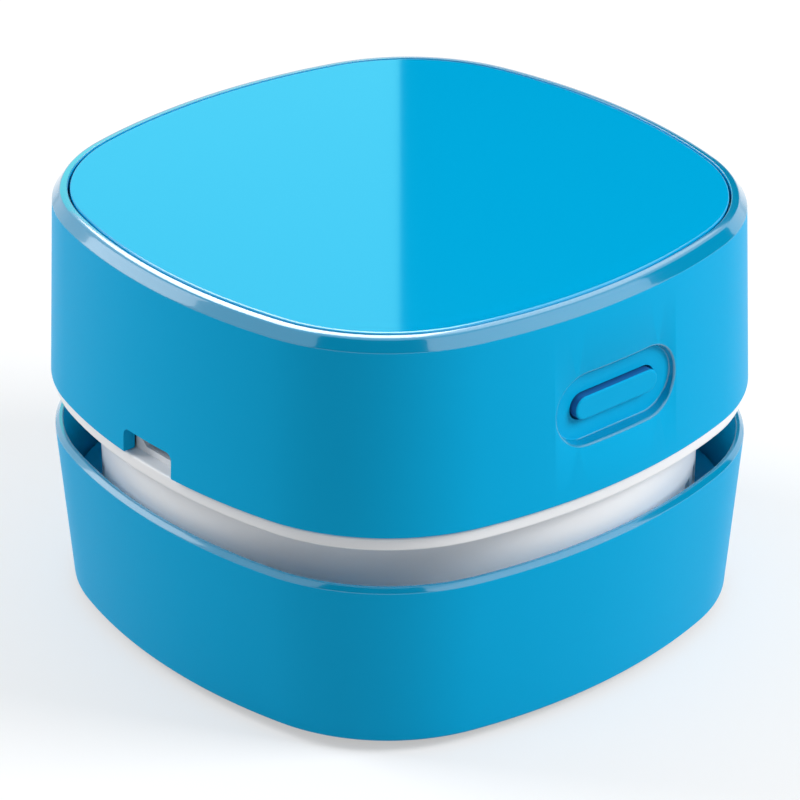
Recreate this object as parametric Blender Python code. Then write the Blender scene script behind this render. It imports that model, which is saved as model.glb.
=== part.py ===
"""A desktop mini vacuum cleaner: a blue rounded-square body in two halves, 85 mm wide.

The upper half holds the motor, fan, cell, charging board and power button, and lifts off the lower half,
which is the dust bin with a suction mouth and brush strips underneath.
Units are metres, +Z is up, the power button faces -Y and the charging port faces -X.
The origin is on the floor, under the middle of the body.
"""

import math

import bmesh
import bpy
from mathutils import Matrix, Vector

# Fits
CLEARANCE = 0.0003
OVERRUN = 0.0006
RUNNING_GAP = 0.0012

# Outline seen from above: four bulged sides and four corner arcs, at the body's widest height
BODY_HALF = 0.0425
SIDE_RADIUS = 0.0813
CORNER_RADIUS = 0.0265
SIDE_STEPS = 6
CORNER_STEPS = 7

# Heights of the body, from the floor up
FOOT_HEIGHT = 0.0015
LOWER_HEIGHT = 0.0234
GAP_HEIGHT = 0.0053
FLANGE_THICKNESS = 0.0018
UPPER_HEIGHT = 0.0248
TOP_CHAMFER_HEIGHT = 0.0015

# Upper housing
UPPER_TAPER = 0.0012
UPPER_WALL = 0.0018
TOP_CHAMFER_WIDTH = 0.0011
TOP_LAND = 0.001
TOP_WALL = 0.0015
HOUSING_BOSS_RADIUS = 0.0032

# Top cover
COVER_THICKNESS = 0.0015
COVER_BEVEL = 0.0002
PEG_RADIUS = 0.0015
PEG_CIRCLE = 0.021

# Power button and its sunk surround
BUTTON_RISE = 0.0119
RECESS_HALF_LENGTH = 0.0105
RECESS_HALF_HEIGHT = 0.0052
RECESS_DEPTH = 0.0015
RECESS_DRAFT = 0.0003
RECESS_FLOOR = 0.0012
RECESS_MARGIN = 0.0015
BUTTON_HALF_LENGTH = 0.007
BUTTON_HALF_HEIGHT = 0.0016
BUTTON_PROUD = 0.001
BUTTON_BEVEL = 0.0002
BUTTON_RETAINER = 0.0012
BUTTON_RETAINER_THICKNESS = 0.001
BUTTON_POST_RADIUS = 0.0014
BUTTON_POST_LENGTH = 0.0012
BUTTON_TRAVEL = 0.0008

# Push switch and its upright board
SWITCH_HALF = 0.004
SWITCH_DEPTH = 0.005
PLUNGER_RADIUS = 0.0014
PLUNGER_PROUD = 0.0016
PLUNGER_SUNK = 0.002
SWITCH_BOARD_HALF_LENGTH = 0.0155
SWITCH_BOARD_HALF_HEIGHT = 0.0055
BOARD_THICKNESS = 0.0012
SWITCH_BOSS_SPREAD = 0.0125
SWITCH_BOSS_RADIUS = 0.0022

# Charging port, its notch in the housing and its upstand on the chassis
NOTCH_HALF_WIDTH = 0.0049
NOTCH_HEIGHT = 0.0035
NOTCH_CORNER = 0.001
UPSTAND_MARGIN = 0.0012
UPSTAND_THICKNESS = 0.0012
PORT_RISE = 0.0012
PORT_HALF_WIDTH = 0.00375
PORT_HEIGHT = 0.0025
PORT_CORNER = 0.0009
PORT_METAL = 0.0003
PORT_DEPTH = 0.0055
PORT_SET_BACK = 0.0006
TONGUE_HALF_WIDTH = 0.0018
TONGUE_THICKNESS = 0.0006
TONGUE_LENGTH = 0.0038

# Barrel and flange of the inner chassis
FLANGE_INSET = 0.0006
FLANGE_BEVEL = 0.0002
BARREL_INSET = 0.0025
BARREL_WALL = 0.0015
BARREL_REACH = 0.0089
COVE_RADIUS = 0.0012
BARREL_SIDES = 60
EXHAUST_SLOTS = 5
EXHAUST_SLOT_WIDTH = 0.0024
EXHAUST_SLOT_HEIGHT = 0.0032
EXHAUST_SLOT_PITCH = 0.0048
KEY_HALF_WIDTH = 0.001
KEY_HEIGHT = 0.008
KEY_REACH = 0.0028

# Motor, seen along its shaft
MOTOR_RADIUS = 0.012
MOTOR_LENGTH = 0.0135
MOTOR_WALL = 0.0006
MOTOR_BOSS_RADIUS = 0.003
MOTOR_BOSS_HEIGHT = 0.001
MOTOR_SINK = 0.0013
END_CAP_THICKNESS = 0.002
END_CAP_BOSS_HEIGHT = 0.0008
ARMATURE_POLES = 3
ARMATURE_RADIUS = 0.0088
ARMATURE_HEIGHT = 0.006
ARMATURE_SLOT_WIDTH = 0.002
ARMATURE_SLOT_DEPTH = 0.0045
COMMUTATOR_RADIUS = 0.0025
COMMUTATOR_HEIGHT = 0.003
SHAFT_RADIUS = 0.001
TERMINAL_OFFSET = 0.0085
TERMINAL_HALF_WIDTH = 0.0012
TERMINAL_THICKNESS = 0.0005
TERMINAL_HEIGHT = 0.0025
WELL_WALL = 0.0015
WELL_FLOOR = 0.0015
WELL_HEIGHT = 0.005
CLAMP_THICKNESS = 0.0012
CLAMP_HALF_WIDTH = 0.004
CLAMP_POST_MARGIN = 0.0018
CLAMP_POST_RADIUS = 0.003

# Impeller and the fan cover under it
IMPELLER_RADIUS = 0.026
IMPELLER_DISC = 0.0012
IMPELLER_HUB_RADIUS = 0.0035
BLADE_COUNT = 9
BLADE_THICKNESS = 0.001
BLADE_HEIGHT = 0.0065
BLADE_ROOT = 0.009
BLADE_SWEEP_DEGREES = 55
BLADE_STEPS = 4
FAN_COVER_THICKNESS = 0.0015
FAN_POST_RADIUS = 0.0025
FAN_POST_INSET = 0.007
EYE_RADIUS = 0.014
SPIGOT_RADIUS = 0.0225
SPIGOT_WALL = 0.0016
SPIGOT_HEIGHT = 0.0025

# Filter basket
BASKET_WALL = 0.0012
BASKET_DEPTH = 0.005
BASKET_RIBS = 8
BASKET_RIB_WIDTH = 0.002
BASKET_HUB_RADIUS = 0.005
BASKET_RIM = 0.0025
MEDIA_THICKNESS = 0.0008

# Cell and its holder
CELL_RADIUS = 0.009
CELL_LENGTH = 0.035
CELL_TIP_RADIUS = 0.003
CELL_TIP = 0.0006
HOLDER_WALL = 0.0014
HOLDER_FLOOR = 0.0024
HOLDER_GRIP = 0.0035
HOLDER_ARM_LENGTH = 0.006
HOLDER_SCREW_SPREAD = 0.0085
HOLDER_GAP = 0.00145

# Control board
CONTROL_BOARD_LENGTH = 0.0165
CONTROL_BOARD_HALF_WIDTH = 0.013
BOARD_SCREW_OFFSET = 0.0095
BOARD_SCREW_MARGIN = 0.0035
STANDOFF_RADIUS = 0.0024
CHIP_HALF = 0.0025
CHIP_HEIGHT = 0.001
COIL_RADIUS = 0.0022
COIL_HEIGHT = 0.002

# Screws: one pan-headed thread-forming size
SCREW_HEAD_RADIUS = 0.0019
SCREW_HEAD_HEIGHT = 0.0011
SCREW_SHANK_RADIUS = 0.001
SCREW_DRIVE_RADIUS = 0.0009
SCREW_DRIVE_DEPTH = 0.0005
SCREW_SIDES = 8
SCREW_MARGIN = 0.0009
SCREW_BITE = 0.005
SCREW_SHORT_BITE = 0.003
SCREW_TIP_SHARE = 0.5
PILOT_SPARE = 0.001

# Leads
LEAD_RADIUS = 0.0006
LEAD_RISE = 0.003
LEAD_STEPS = 4
PAD_PITCH = 0.0025

# Lower housing
RIM_INSET = 0.0002
LOWER_TAPER = 0.0017
LOWER_WALL = 0.0011
RIM_CHAMFER = 0.0006
FOOT_EDGE_BEVEL = 0.0003
SHELF_THICKNESS = 0.0015
SHELF_LIP = 0.0055
SEAL_THICKNESS = 0.001
SEAL_LIP = 0.0008
GUIDE_THICKNESS = 0.0012
GUIDE_HEIGHT = 0.006
BOSS_RIB_THICKNESS = 0.0012

# Base plate with the suction mouth
BASE_THICKNESS = 0.0022
BASE_BOSS_RADIUS = 0.003
BASE_SCREW_INSET = 0.0045
MOUTH_HALF_LENGTH = 0.014
MOUTH_HALF_WIDTH = 0.007
MOUTH_WALL = 0.0012
CHIMNEY_HEIGHT = 0.0032
BRUSH_RADIUS = 0.0255
BRUSH_HALF_WIDTH = 0.001
BRUSH_SPAN_DEGREES = 66
BRUSH_STEPS = 10
BRUSH_GROOVE = 0.001
BRUSH_FLOOR_GAP = 0.0002
FOOT_RADIUS = 0.0035
FOOT_INSET = 0.011
FOOT_SINK = 0.0006
FOOT_BEVEL = 0.0003

ROUND_SIDES = 28
WIDE_SIDES = 40
SMALL_SIDES = 10
PILL_STEPS = 6
COVE_STEPS = 3
CORNERS = (45, 135, 225, 315)
KEY_DEGREES = 45
FAN_POST_DEGREES = (90, 210, 330)
WALL_BITE_SHARE = 0.3
SHARP_ANGLE_DEGREES = 32

# Heights worked out from the sizes above
BOTTOM_Z = FOOT_HEIGHT
RIM_Z = BOTTOM_Z + LOWER_HEIGHT
FLANGE_BOTTOM_Z = RIM_Z + GAP_HEIGHT
DECK_Z = FLANGE_BOTTOM_Z + FLANGE_THICKNESS
SHELL_BOTTOM_Z = DECK_Z + CLEARANCE
SHOULDER_Z = SHELL_BOTTOM_Z + UPPER_HEIGHT
TOP_Z = SHOULDER_Z + TOP_CHAMFER_HEIGHT
POCKET_Z = TOP_Z - COVER_THICKNESS - CLEARANCE
CEILING_Z = POCKET_Z - TOP_WALL
BARREL_BOTTOM_Z = RIM_Z - BARREL_REACH
SHELF_TOP_Z = BARREL_BOTTOM_Z - SEAL_THICKNESS - 2 * CLEARANCE
SHELF_BOTTOM_Z = SHELF_TOP_Z - SHELF_THICKNESS
BASE_TOP_Z = BOTTOM_Z + BASE_THICKNESS
BUTTON_Z = SHELL_BOTTOM_Z + BUTTON_RISE
FAN_COVER_BOTTOM_Z = BARREL_BOTTOM_Z + CLEARANCE
FAN_COVER_TOP_Z = FAN_COVER_BOTTOM_Z + FAN_COVER_THICKNESS
BLADE_BOTTOM_Z = FAN_COVER_TOP_Z + RUNNING_GAP
DISC_BOTTOM_Z = BLADE_BOTTOM_Z + BLADE_HEIGHT
DISC_TOP_Z = DISC_BOTTOM_Z + IMPELLER_DISC
MOTOR_FRONT_Z = DECK_Z - MOTOR_SINK + CLEARANCE
WELL_FLOOR_Z = DECK_Z - MOTOR_SINK
MOTOR_BACK_Z = MOTOR_FRONT_Z + MOTOR_LENGTH
END_CAP_TOP_Z = MOTOR_BACK_Z + CLEARANCE + END_CAP_THICKNESS
CLAMP_Z = END_CAP_TOP_Z + CLEARANCE
PORT_Z = DECK_Z + PORT_RISE
BOARD_Z = PORT_Z + PORT_HEIGHT + CLEARANCE
UPSTAND_TOP_Z = BOARD_Z + UPSTAND_MARGIN
HOLDER_Z = DECK_Z + CLEARANCE
CELL_Z = HOLDER_Z + HOLDER_FLOOR + CLEARANCE + CELL_RADIUS

# Widths worked out from the sizes above
BARREL_RADIUS = BODY_HALF - BARREL_INSET
BARREL_BORE = BARREL_RADIUS - BARREL_WALL
POCKET_INSET = UPPER_TAPER + TOP_CHAMFER_WIDTH + TOP_LAND
SCREW_CIRCLE = BARREL_BORE - SCREW_MARGIN - SCREW_HEAD_RADIUS
FAN_POST_CIRCLE = BARREL_BORE - FAN_POST_INSET
SHELF_BORE = BARREL_RADIUS - SHELF_LIP
BASE_INSET = RIM_INSET + LOWER_TAPER + LOWER_WALL
BUTTON_WALL_Y = -(BODY_HALF - UPPER_TAPER * BUTTON_RISE / UPPER_HEIGHT)
RECESS_FLOOR_Y = BUTTON_WALL_Y + RECESS_DEPTH
RECESS_BACK_Y = RECESS_FLOOR_Y + RECESS_FLOOR
BUTTON_FRONT_Y = RECESS_FLOOR_Y - BUTTON_PROUD
RETAINER_Y = RECESS_BACK_Y + CLEARANCE
PLUNGER_TIP_Y = RETAINER_Y + BUTTON_RETAINER_THICKNESS + BUTTON_POST_LENGTH + CLEARANCE
SWITCH_FRONT_Y = PLUNGER_TIP_Y + PLUNGER_PROUD
SWITCH_BOARD_Y = SWITCH_FRONT_Y + SWITCH_DEPTH + CLEARANCE
UPSTAND_HALF = PORT_HALF_WIDTH + CLEARANCE + UPSTAND_MARGIN
UPSTAND_TAPER = UPPER_TAPER * (UPSTAND_TOP_Z - SHELL_BOTTOM_Z) / UPPER_HEIGHT
UPSTAND_SAG = UPSTAND_HALF**2 / (2 * (SIDE_RADIUS - UPPER_WALL))
UPSTAND_X = -(BODY_HALF - UPPER_WALL - UPSTAND_TAPER - UPSTAND_SAG - CLEARANCE)
PORT_X = UPSTAND_X + PORT_SET_BACK
BOARD_EDGE_X = UPSTAND_X + UPSTAND_THICKNESS + CLEARANCE
WELL_RADIUS = MOTOR_RADIUS + CLEARANCE
CLAMP_POST_X = WELL_RADIUS + WELL_WALL + CLAMP_POST_MARGIN + CLAMP_POST_RADIUS
HOLDER_HALF_LENGTH = CELL_LENGTH / 2 + CLEARANCE + HOLDER_WALL
HOLDER_TAPER = UPPER_TAPER * (CELL_Z + HOLDER_GRIP - SHELL_BOTTOM_Z) / UPPER_HEIGHT
HOLDER_SAG = HOLDER_HALF_LENGTH**2 / (2 * (SIDE_RADIUS - UPPER_WALL))
HOLDER_OUTER_Y = BODY_HALF - UPPER_WALL - HOLDER_TAPER - HOLDER_SAG - HOLDER_GAP
CELL_OFFSET = HOLDER_OUTER_Y - HOLDER_WALL - CLEARANCE - CELL_RADIUS
BASKET_BORE = SPIGOT_RADIUS + CLEARANCE
BASKET_BOTTOM_Z = FAN_COVER_BOTTOM_Z - CLEARANCE - BASKET_DEPTH
SEAT_INSET = RIM_INSET + LOWER_TAPER * (RIM_Z - SHELF_BOTTOM_Z) / LOWER_HEIGHT + LOWER_WALL + CLEARANCE


def material(name, hex_colour, roughness, metallic=0.0):
    """A Principled material whose colour is given as sRGB hex."""
    made = bpy.data.materials.new(name)
    made.use_nodes = True
    shader = made.node_tree.nodes["Principled BSDF"]
    channels = [int(hex_colour[i : i + 2], 16) / 255 for i in (0, 2, 4)]
    linear = [c / 12.92 if c <= 0.04045 else ((c + 0.055) / 1.055) ** 2.4 for c in channels]
    shader.inputs["Base Color"].default_value = (*linear, 1.0)
    shader.inputs["Roughness"].default_value = roughness
    shader.inputs["Metallic"].default_value = metallic
    return made


def outline(inset, height):
    """A ring of points on the body's outline, drawn in from the widest outline by inset.

    Each side is an arc whose centre lies beyond the axis, and each corner arc runs on from it smoothly.
    """
    side = SIDE_RADIUS - inset
    corner = CORNER_RADIUS - inset
    beyond = SIDE_RADIUS - BODY_HALF
    between = SIDE_RADIUS - CORNER_RADIUS
    centre = (math.sqrt(2 * between**2 - beyond**2) - beyond) / 2
    turn = math.atan2(centre, centre + beyond)
    quarter = []
    for i in range(SIDE_STEPS):
        angle = turn * (2 * i / SIDE_STEPS - 1)
        quarter.append(Vector((side * math.cos(angle) - beyond, side * math.sin(angle), height)))
    for i in range(CORNER_STEPS):
        angle = turn + (math.pi / 2 - 2 * turn) * i / CORNER_STEPS
        x = centre + corner * math.cos(angle)
        y = centre + corner * math.sin(angle)
        quarter.append(Vector((x, y, height)))
    quarters = [Matrix.Rotation(math.pi / 2 * k, 3, "Z") for k in range(4)]
    return [turned @ point for turned in quarters for point in quarter]


def diagonal(inset):
    """How far the outline reaches from the axis along its diagonal."""
    return max(point.to_2d().length for point in outline(inset, 0))


def circle(radius, height, sides=ROUND_SIDES):
    """A ring of points round the Z axis."""
    angles = [2 * math.pi * i / sides for i in range(sides)]
    return [Vector((radius * math.cos(a), radius * math.sin(a), height)) for a in angles]


def pill(half_length, half_height, y):
    """A ring of points in the XZ plane: a bar along X with round ends."""
    straight = half_length - half_height
    ring = []
    for end in (1, -1):
        for i in range(PILL_STEPS + 1):
            angle = math.pi * i / PILL_STEPS - math.pi / 2
            x = end * (straight + half_height * math.cos(angle))
            z = end * half_height * math.sin(angle)
            ring.append(Vector((x, y, z)))
    return ring


def lying(ring, height):
    """The same ring laid flat, facing up, at a height."""
    return [Vector((point.x, point.z, height)) for point in ring]


def rectangle(x0, x1, y0, y1, z):
    """A ring of four corners."""
    return [Vector((x0, y0, z)), Vector((x1, y0, z)), Vector((x1, y1, z)), Vector((x0, y1, z))]


def loft(rings, loop=False):
    """A closed solid through rings of equal count. With loop, the last ring joins the first."""
    shape = bmesh.new()
    made = [[shape.verts.new(point) for point in ring] for ring in rings]
    pairs = list(zip(made, made[1:]))
    if loop:
        pairs.append((made[-1], made[0]))
    else:
        shape.faces.new(made[0])
        shape.faces.new(made[-1])
    count = len(made[0])
    for near, far in pairs:
        for i in range(count):
            j = (i + 1) % count
            shape.faces.new((near[i], near[j], far[j], far[i]))
    bmesh.ops.recalc_face_normals(shape, faces=shape.faces)
    return shape


def turned(profile, sides=ROUND_SIDES, loop=False):
    """A solid turned round the Z axis from (radius, height) pairs."""
    return loft([circle(radius, height, sides) for radius, height in profile], loop)


def swept(profile, loop=False):
    """A solid that follows the body's outline, from (inset, height) pairs."""
    return loft([outline(inset, height) for inset, height in profile], loop)


def block(x0, x1, y0, y1, z0, z1):
    """A box between two corners."""
    return loft([rectangle(x0, x1, y0, y1, z0), rectangle(x0, x1, y0, y1, z1)])


def post(radius, z0, z1, x=0.0, y=0.0, sides=SMALL_SIDES):
    """An upright cylinder."""
    return moved(turned([(radius, z0), (radius, z1)], sides), x, y)


def moved(shape, x=0.0, y=0.0, z=0.0):
    """The shape shifted."""
    bmesh.ops.translate(shape, vec=Vector((x, y, z)), verts=shape.verts)
    return shape


def rotated(shape, degrees, axis="Z"):
    """The shape turned about the world's origin."""
    turn = Matrix.Rotation(math.radians(degrees), 3, axis)
    bmesh.ops.rotate(shape, cent=Vector((0, 0, 0)), matrix=turn, verts=shape.verts)
    return shape


def on_circle(radius, degrees):
    """The x and y of a point on a circle round the axis."""
    angle = math.radians(degrees)
    return radius * math.cos(angle), radius * math.sin(angle)


def helper_of(shapes):
    """One scene object that holds all the shapes, and frees them."""
    mesh = bpy.data.meshes.new("helper")
    whole = bmesh.new()
    for shape in shapes:
        shape.to_mesh(mesh)
        shape.free()
        whole.from_mesh(mesh)
    whole.to_mesh(mesh)
    whole.free()
    helper = bpy.data.objects.new("helper", mesh)
    bpy.context.scene.collection.objects.link(helper)
    return helper


def combined(base, shapes, operation):
    """The base shape with the others joined to it or cut from it. The others don't touch one another."""
    target = helper_of([base])
    tool = helper_of(shapes)
    modifier = target.modifiers.new(operation.lower(), "BOOLEAN")
    modifier.operation = operation
    modifier.solver = "EXACT"
    modifier.object = tool
    graph = bpy.context.evaluated_depsgraph_get()
    result = bmesh.new()
    result.from_object(target, graph)
    for used in (target, tool):
        mesh = used.data
        bpy.data.objects.remove(used)
        bpy.data.meshes.remove(mesh)
    return result


def with_added(base, *shapes):
    """The base shape with others joined to it."""
    return combined(base, shapes, "UNION")


def with_cut(base, *shapes):
    """The base shape with others cut from it."""
    return combined(base, shapes, "DIFFERENCE")


def mesh_of(name, shape, finish):
    """A mesh from a shape, shaded smooth across its shallow edges."""
    mesh = bpy.data.meshes.new(name)
    shape.to_mesh(mesh)
    shape.free()
    mesh.shade_smooth()
    mesh.set_sharp_from_angle(angle=math.radians(SHARP_ANGLE_DEGREES))
    mesh.materials.append(finish)
    return mesh


def place(name, mesh, parent, location=(0, 0, 0), rotation=(0, 0, 0)):
    """A named object with its origin at a world location, carried by its body's empty."""
    made = bpy.data.objects.new(name, mesh)
    bpy.context.scene.collection.objects.link(made)
    made.parent = parent
    made.location = Vector(location) - parent.matrix_world.translation
    made.rotation_euler = rotation
    return made


def body(name, location=(0, 0, 0)):
    """An empty on the axis of the body that it carries."""
    made = bpy.data.objects.new(name, None)
    made.empty_display_size = FOOT_RADIUS
    made.location = location
    bpy.context.scene.collection.objects.link(made)
    bpy.context.view_layer.update()
    return made


def lower_inset(height):
    """The inset of the lower housing's outside at a height."""
    return RIM_INSET + LOWER_TAPER * (RIM_Z - height) / LOWER_HEIGHT


def rod_y(radius, y0, y1, x=0.0, z=0.0, sides=SMALL_SIDES):
    """A cylinder along Y."""
    return moved(rotated(post(radius, y0, y1, sides=sides), -90, "X"), x, 0, z)


def arc_block(inner, outer, z0, z1, degrees, steps):
    """A stretch of a flat ring, centred on +X."""
    half = math.radians(degrees) / 2
    rings = []
    for i in range(steps + 1):
        angle = half * (2 * i / steps - 1)
        out = Vector((math.cos(angle), math.sin(angle), 0))
        near, far = inner * out, outer * out
        low, high = Vector((0, 0, z0)), Vector((0, 0, z1))
        rings.append([near + low, far + low, far + high, near + high])
    return loft(rings)


def screw(length):
    """A pan-headed screw, its head's seat at height zero and its shank pointing up."""
    tip = SCREW_SHANK_RADIUS * SCREW_TIP_SHARE
    drive_floor = SCREW_DRIVE_RADIUS * SCREW_TIP_SHARE
    edge = SCREW_HEAD_HEIGHT * SCREW_TIP_SHARE
    profile = [
        (tip, length),
        (SCREW_SHANK_RADIUS, length - SCREW_SHANK_RADIUS),
        (SCREW_SHANK_RADIUS, 0),
        (SCREW_HEAD_RADIUS, 0),
        (SCREW_HEAD_RADIUS, -edge),
        (SCREW_HEAD_RADIUS - edge * SCREW_TIP_SHARE, -SCREW_HEAD_HEIGHT),
        (SCREW_DRIVE_RADIUS, -SCREW_HEAD_HEIGHT),
        (drive_floor, SCREW_DRIVE_DEPTH - SCREW_HEAD_HEIGHT),
    ]
    return turned(profile, SCREW_SIDES)


def pilot(z0, z1, x, y):
    """A cutter for a screw's hole."""
    return post(SCREW_SHANK_RADIUS + CLEARANCE, z0, z1, x, y)


# Upper body


def make_top_cover():
    """The inset plate on top, located by four pegs."""
    inset = POCKET_INSET + CLEARANCE
    plate = swept(
        [
            (inset + COVER_BEVEL, TOP_Z),
            (inset, TOP_Z - COVER_BEVEL),
            (inset, POCKET_Z + CLEARANCE),
        ]
    )
    pegs = [
        post(PEG_RADIUS, CEILING_Z, POCKET_Z + CLEARANCE + OVERRUN, *on_circle(PEG_CIRCLE, corner))
        for corner in CORNERS
    ]
    return with_added(plate, *pegs)


def make_upper_housing():
    """The upper blue shell: the cover's pocket, the button's surround, the port's notch and its bosses."""
    shell = swept(
        [
            (POCKET_INSET, POCKET_Z),
            (POCKET_INSET, TOP_Z),
            (UPPER_TAPER + TOP_CHAMFER_WIDTH, TOP_Z),
            (UPPER_TAPER, SHOULDER_Z),
            (0, SHELL_BOTTOM_Z),
            (UPPER_WALL, SHELL_BOTTOM_Z),
            (UPPER_WALL + UPPER_TAPER, CEILING_Z),
        ]
    )
    pad_length = RECESS_HALF_LENGTH + RECESS_MARGIN
    pad_height = RECESS_HALF_HEIGHT + RECESS_MARGIN
    pad = loft([pill(pad_length, pad_height, y) for y in (RECESS_FLOOR_Y, RECESS_BACK_Y)])
    corner_bosses = [
        post(HOUSING_BOSS_RADIUS, SHELL_BOTTOM_Z, CEILING_Z + OVERRUN, *on_circle(SCREW_CIRCLE, corner))
        for corner in CORNERS
    ]
    shell = with_added(shell, moved(pad, z=BUTTON_Z), *corner_bosses)
    switch_bosses = [
        rod_y(
            SWITCH_BOSS_RADIUS,
            RECESS_BACK_Y - OVERRUN,
            SWITCH_BOARD_Y - CLEARANCE,
            side * SWITCH_BOSS_SPREAD,
            BUTTON_Z,
        )
        for side in (1, -1)
    ]
    shell = with_added(shell, *switch_bosses)
    recess = loft(
        [
            pill(RECESS_HALF_LENGTH - RECESS_DRAFT, RECESS_HALF_HEIGHT - RECESS_DRAFT, RECESS_FLOOR_Y),
            pill(RECESS_HALF_LENGTH, RECESS_HALF_HEIGHT, BUTTON_WALL_Y),
            pill(RECESS_HALF_LENGTH, RECESS_HALF_HEIGHT, BUTTON_WALL_Y - OVERRUN),
        ]
    )
    pilots = [
        pilot(
            SHELL_BOTTOM_Z - OVERRUN,
            SHELL_BOTTOM_Z + SCREW_BITE + PILOT_SPARE,
            *on_circle(SCREW_CIRCLE, corner),
        )
        for corner in CORNERS
    ]
    peg_holes = [
        post(PEG_RADIUS + CLEARANCE, CEILING_Z - OVERRUN, POCKET_Z + OVERRUN, *on_circle(PEG_CIRCLE, corner))
        for corner in CORNERS
    ]
    switch_pilots = [
        rod_y(
            SCREW_SHANK_RADIUS + CLEARANCE,
            SWITCH_BOARD_Y - CLEARANCE - SCREW_SHORT_BITE - PILOT_SPARE,
            SWITCH_BOARD_Y + OVERRUN,
            side * SWITCH_BOSS_SPREAD,
            BUTTON_Z,
        )
        for side in (1, -1)
    ]
    shell = with_cut(shell, moved(recess, z=BUTTON_Z), *pilots, *peg_holes, *switch_pilots, notch())
    hole = loft(
        [
            pill(BUTTON_HALF_LENGTH + CLEARANCE, BUTTON_HALF_HEIGHT + CLEARANCE, y)
            for y in (RECESS_FLOOR_Y - OVERRUN, RECESS_BACK_Y + OVERRUN)
        ]
    )
    return with_cut(shell, moved(hole, z=BUTTON_Z))


def notch():
    """The cutter for the charging notch: an open-bottomed window with chamfered upper corners."""
    low, high = SHELL_BOTTOM_Z - OVERRUN, SHELL_BOTTOM_Z + NOTCH_HEIGHT
    rings = []
    for x in (-BODY_HALF - OVERRUN, UPSTAND_X):
        rings.append(
            [
                Vector((x, -NOTCH_HALF_WIDTH, low)),
                Vector((x, NOTCH_HALF_WIDTH, low)),
                Vector((x, NOTCH_HALF_WIDTH, high - NOTCH_CORNER)),
                Vector((x, NOTCH_HALF_WIDTH - NOTCH_CORNER, high)),
                Vector((x, NOTCH_CORNER - NOTCH_HALF_WIDTH, high)),
                Vector((x, -NOTCH_HALF_WIDTH, high - NOTCH_CORNER)),
            ]
        )
    return loft(rings)


def make_power_button():
    """The raised pill, its retaining flange behind the wall and the post that pushes the switch."""
    back = RETAINER_Y + BUTTON_RETAINER_THICKNESS
    return loft(
        [
            pill(BUTTON_HALF_LENGTH - BUTTON_BEVEL, BUTTON_HALF_HEIGHT - BUTTON_BEVEL, BUTTON_FRONT_Y),
            pill(BUTTON_HALF_LENGTH, BUTTON_HALF_HEIGHT, BUTTON_FRONT_Y + BUTTON_BEVEL),
            pill(BUTTON_HALF_LENGTH, BUTTON_HALF_HEIGHT, RETAINER_Y),
            pill(BUTTON_HALF_LENGTH + BUTTON_RETAINER, BUTTON_HALF_HEIGHT + BUTTON_RETAINER, RETAINER_Y),
            pill(BUTTON_HALF_LENGTH + BUTTON_RETAINER, BUTTON_HALF_HEIGHT + BUTTON_RETAINER, back),
            pill(BUTTON_POST_RADIUS, BUTTON_POST_RADIUS, back),
            pill(BUTTON_POST_RADIUS, BUTTON_POST_RADIUS, back + BUTTON_POST_LENGTH),
        ]
    )


def make_switch_body():
    """The push switch's case, with the bore that its plunger slides in."""
    case = block(
        -SWITCH_HALF, SWITCH_HALF, SWITCH_FRONT_Y, SWITCH_FRONT_Y + SWITCH_DEPTH, -SWITCH_HALF, SWITCH_HALF
    )
    bore_end = SWITCH_FRONT_Y + PLUNGER_SUNK + BUTTON_TRAVEL + CLEARANCE
    return with_cut(case, rod_y(PLUNGER_RADIUS + CLEARANCE, SWITCH_FRONT_Y - OVERRUN, bore_end))


def make_switch_board():
    """The upright board that carries the switch."""
    board = block(
        -SWITCH_BOARD_HALF_LENGTH,
        SWITCH_BOARD_HALF_LENGTH,
        SWITCH_BOARD_Y,
        SWITCH_BOARD_Y + BOARD_THICKNESS,
        -SWITCH_BOARD_HALF_HEIGHT,
        SWITCH_BOARD_HALF_HEIGHT,
    )
    holes = [
        rod_y(
            SCREW_SHANK_RADIUS + CLEARANCE,
            SWITCH_BOARD_Y - OVERRUN,
            SWITCH_BOARD_Y + BOARD_THICKNESS + OVERRUN,
            side * SWITCH_BOSS_SPREAD,
        )
        for side in (1, -1)
    ]
    return with_cut(board, *holes)


def barrel_profile():
    """The barrel's wall, with the cove that runs into the flange."""
    profile = [(BARREL_RADIUS + COVE_RADIUS, FLANGE_BOTTOM_Z + OVERRUN)]
    for i in range(COVE_STEPS + 1):
        angle = math.pi / 2 * i / COVE_STEPS
        radius = BARREL_RADIUS + COVE_RADIUS * (1 - math.sin(angle))
        profile.append((radius, FLANGE_BOTTOM_Z - COVE_RADIUS * (1 - math.cos(angle))))
    profile.append((BARREL_RADIUS, BARREL_BOTTOM_Z))
    profile.append((BARREL_BORE, BARREL_BOTTOM_Z))
    profile.append((BARREL_BORE, FLANGE_BOTTOM_Z + OVERRUN))
    return profile


def port_ring(half_width, low, high, corner, x):
    """The charging port's outline at an x: a slot with its two lower corners cut off."""
    return [
        Vector((x, half_width, high)),
        Vector((x, -half_width, high)),
        Vector((x, -half_width, low + corner)),
        Vector((x, corner - half_width, low)),
        Vector((x, half_width - corner, low)),
        Vector((x, half_width, low + corner)),
    ]


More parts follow.
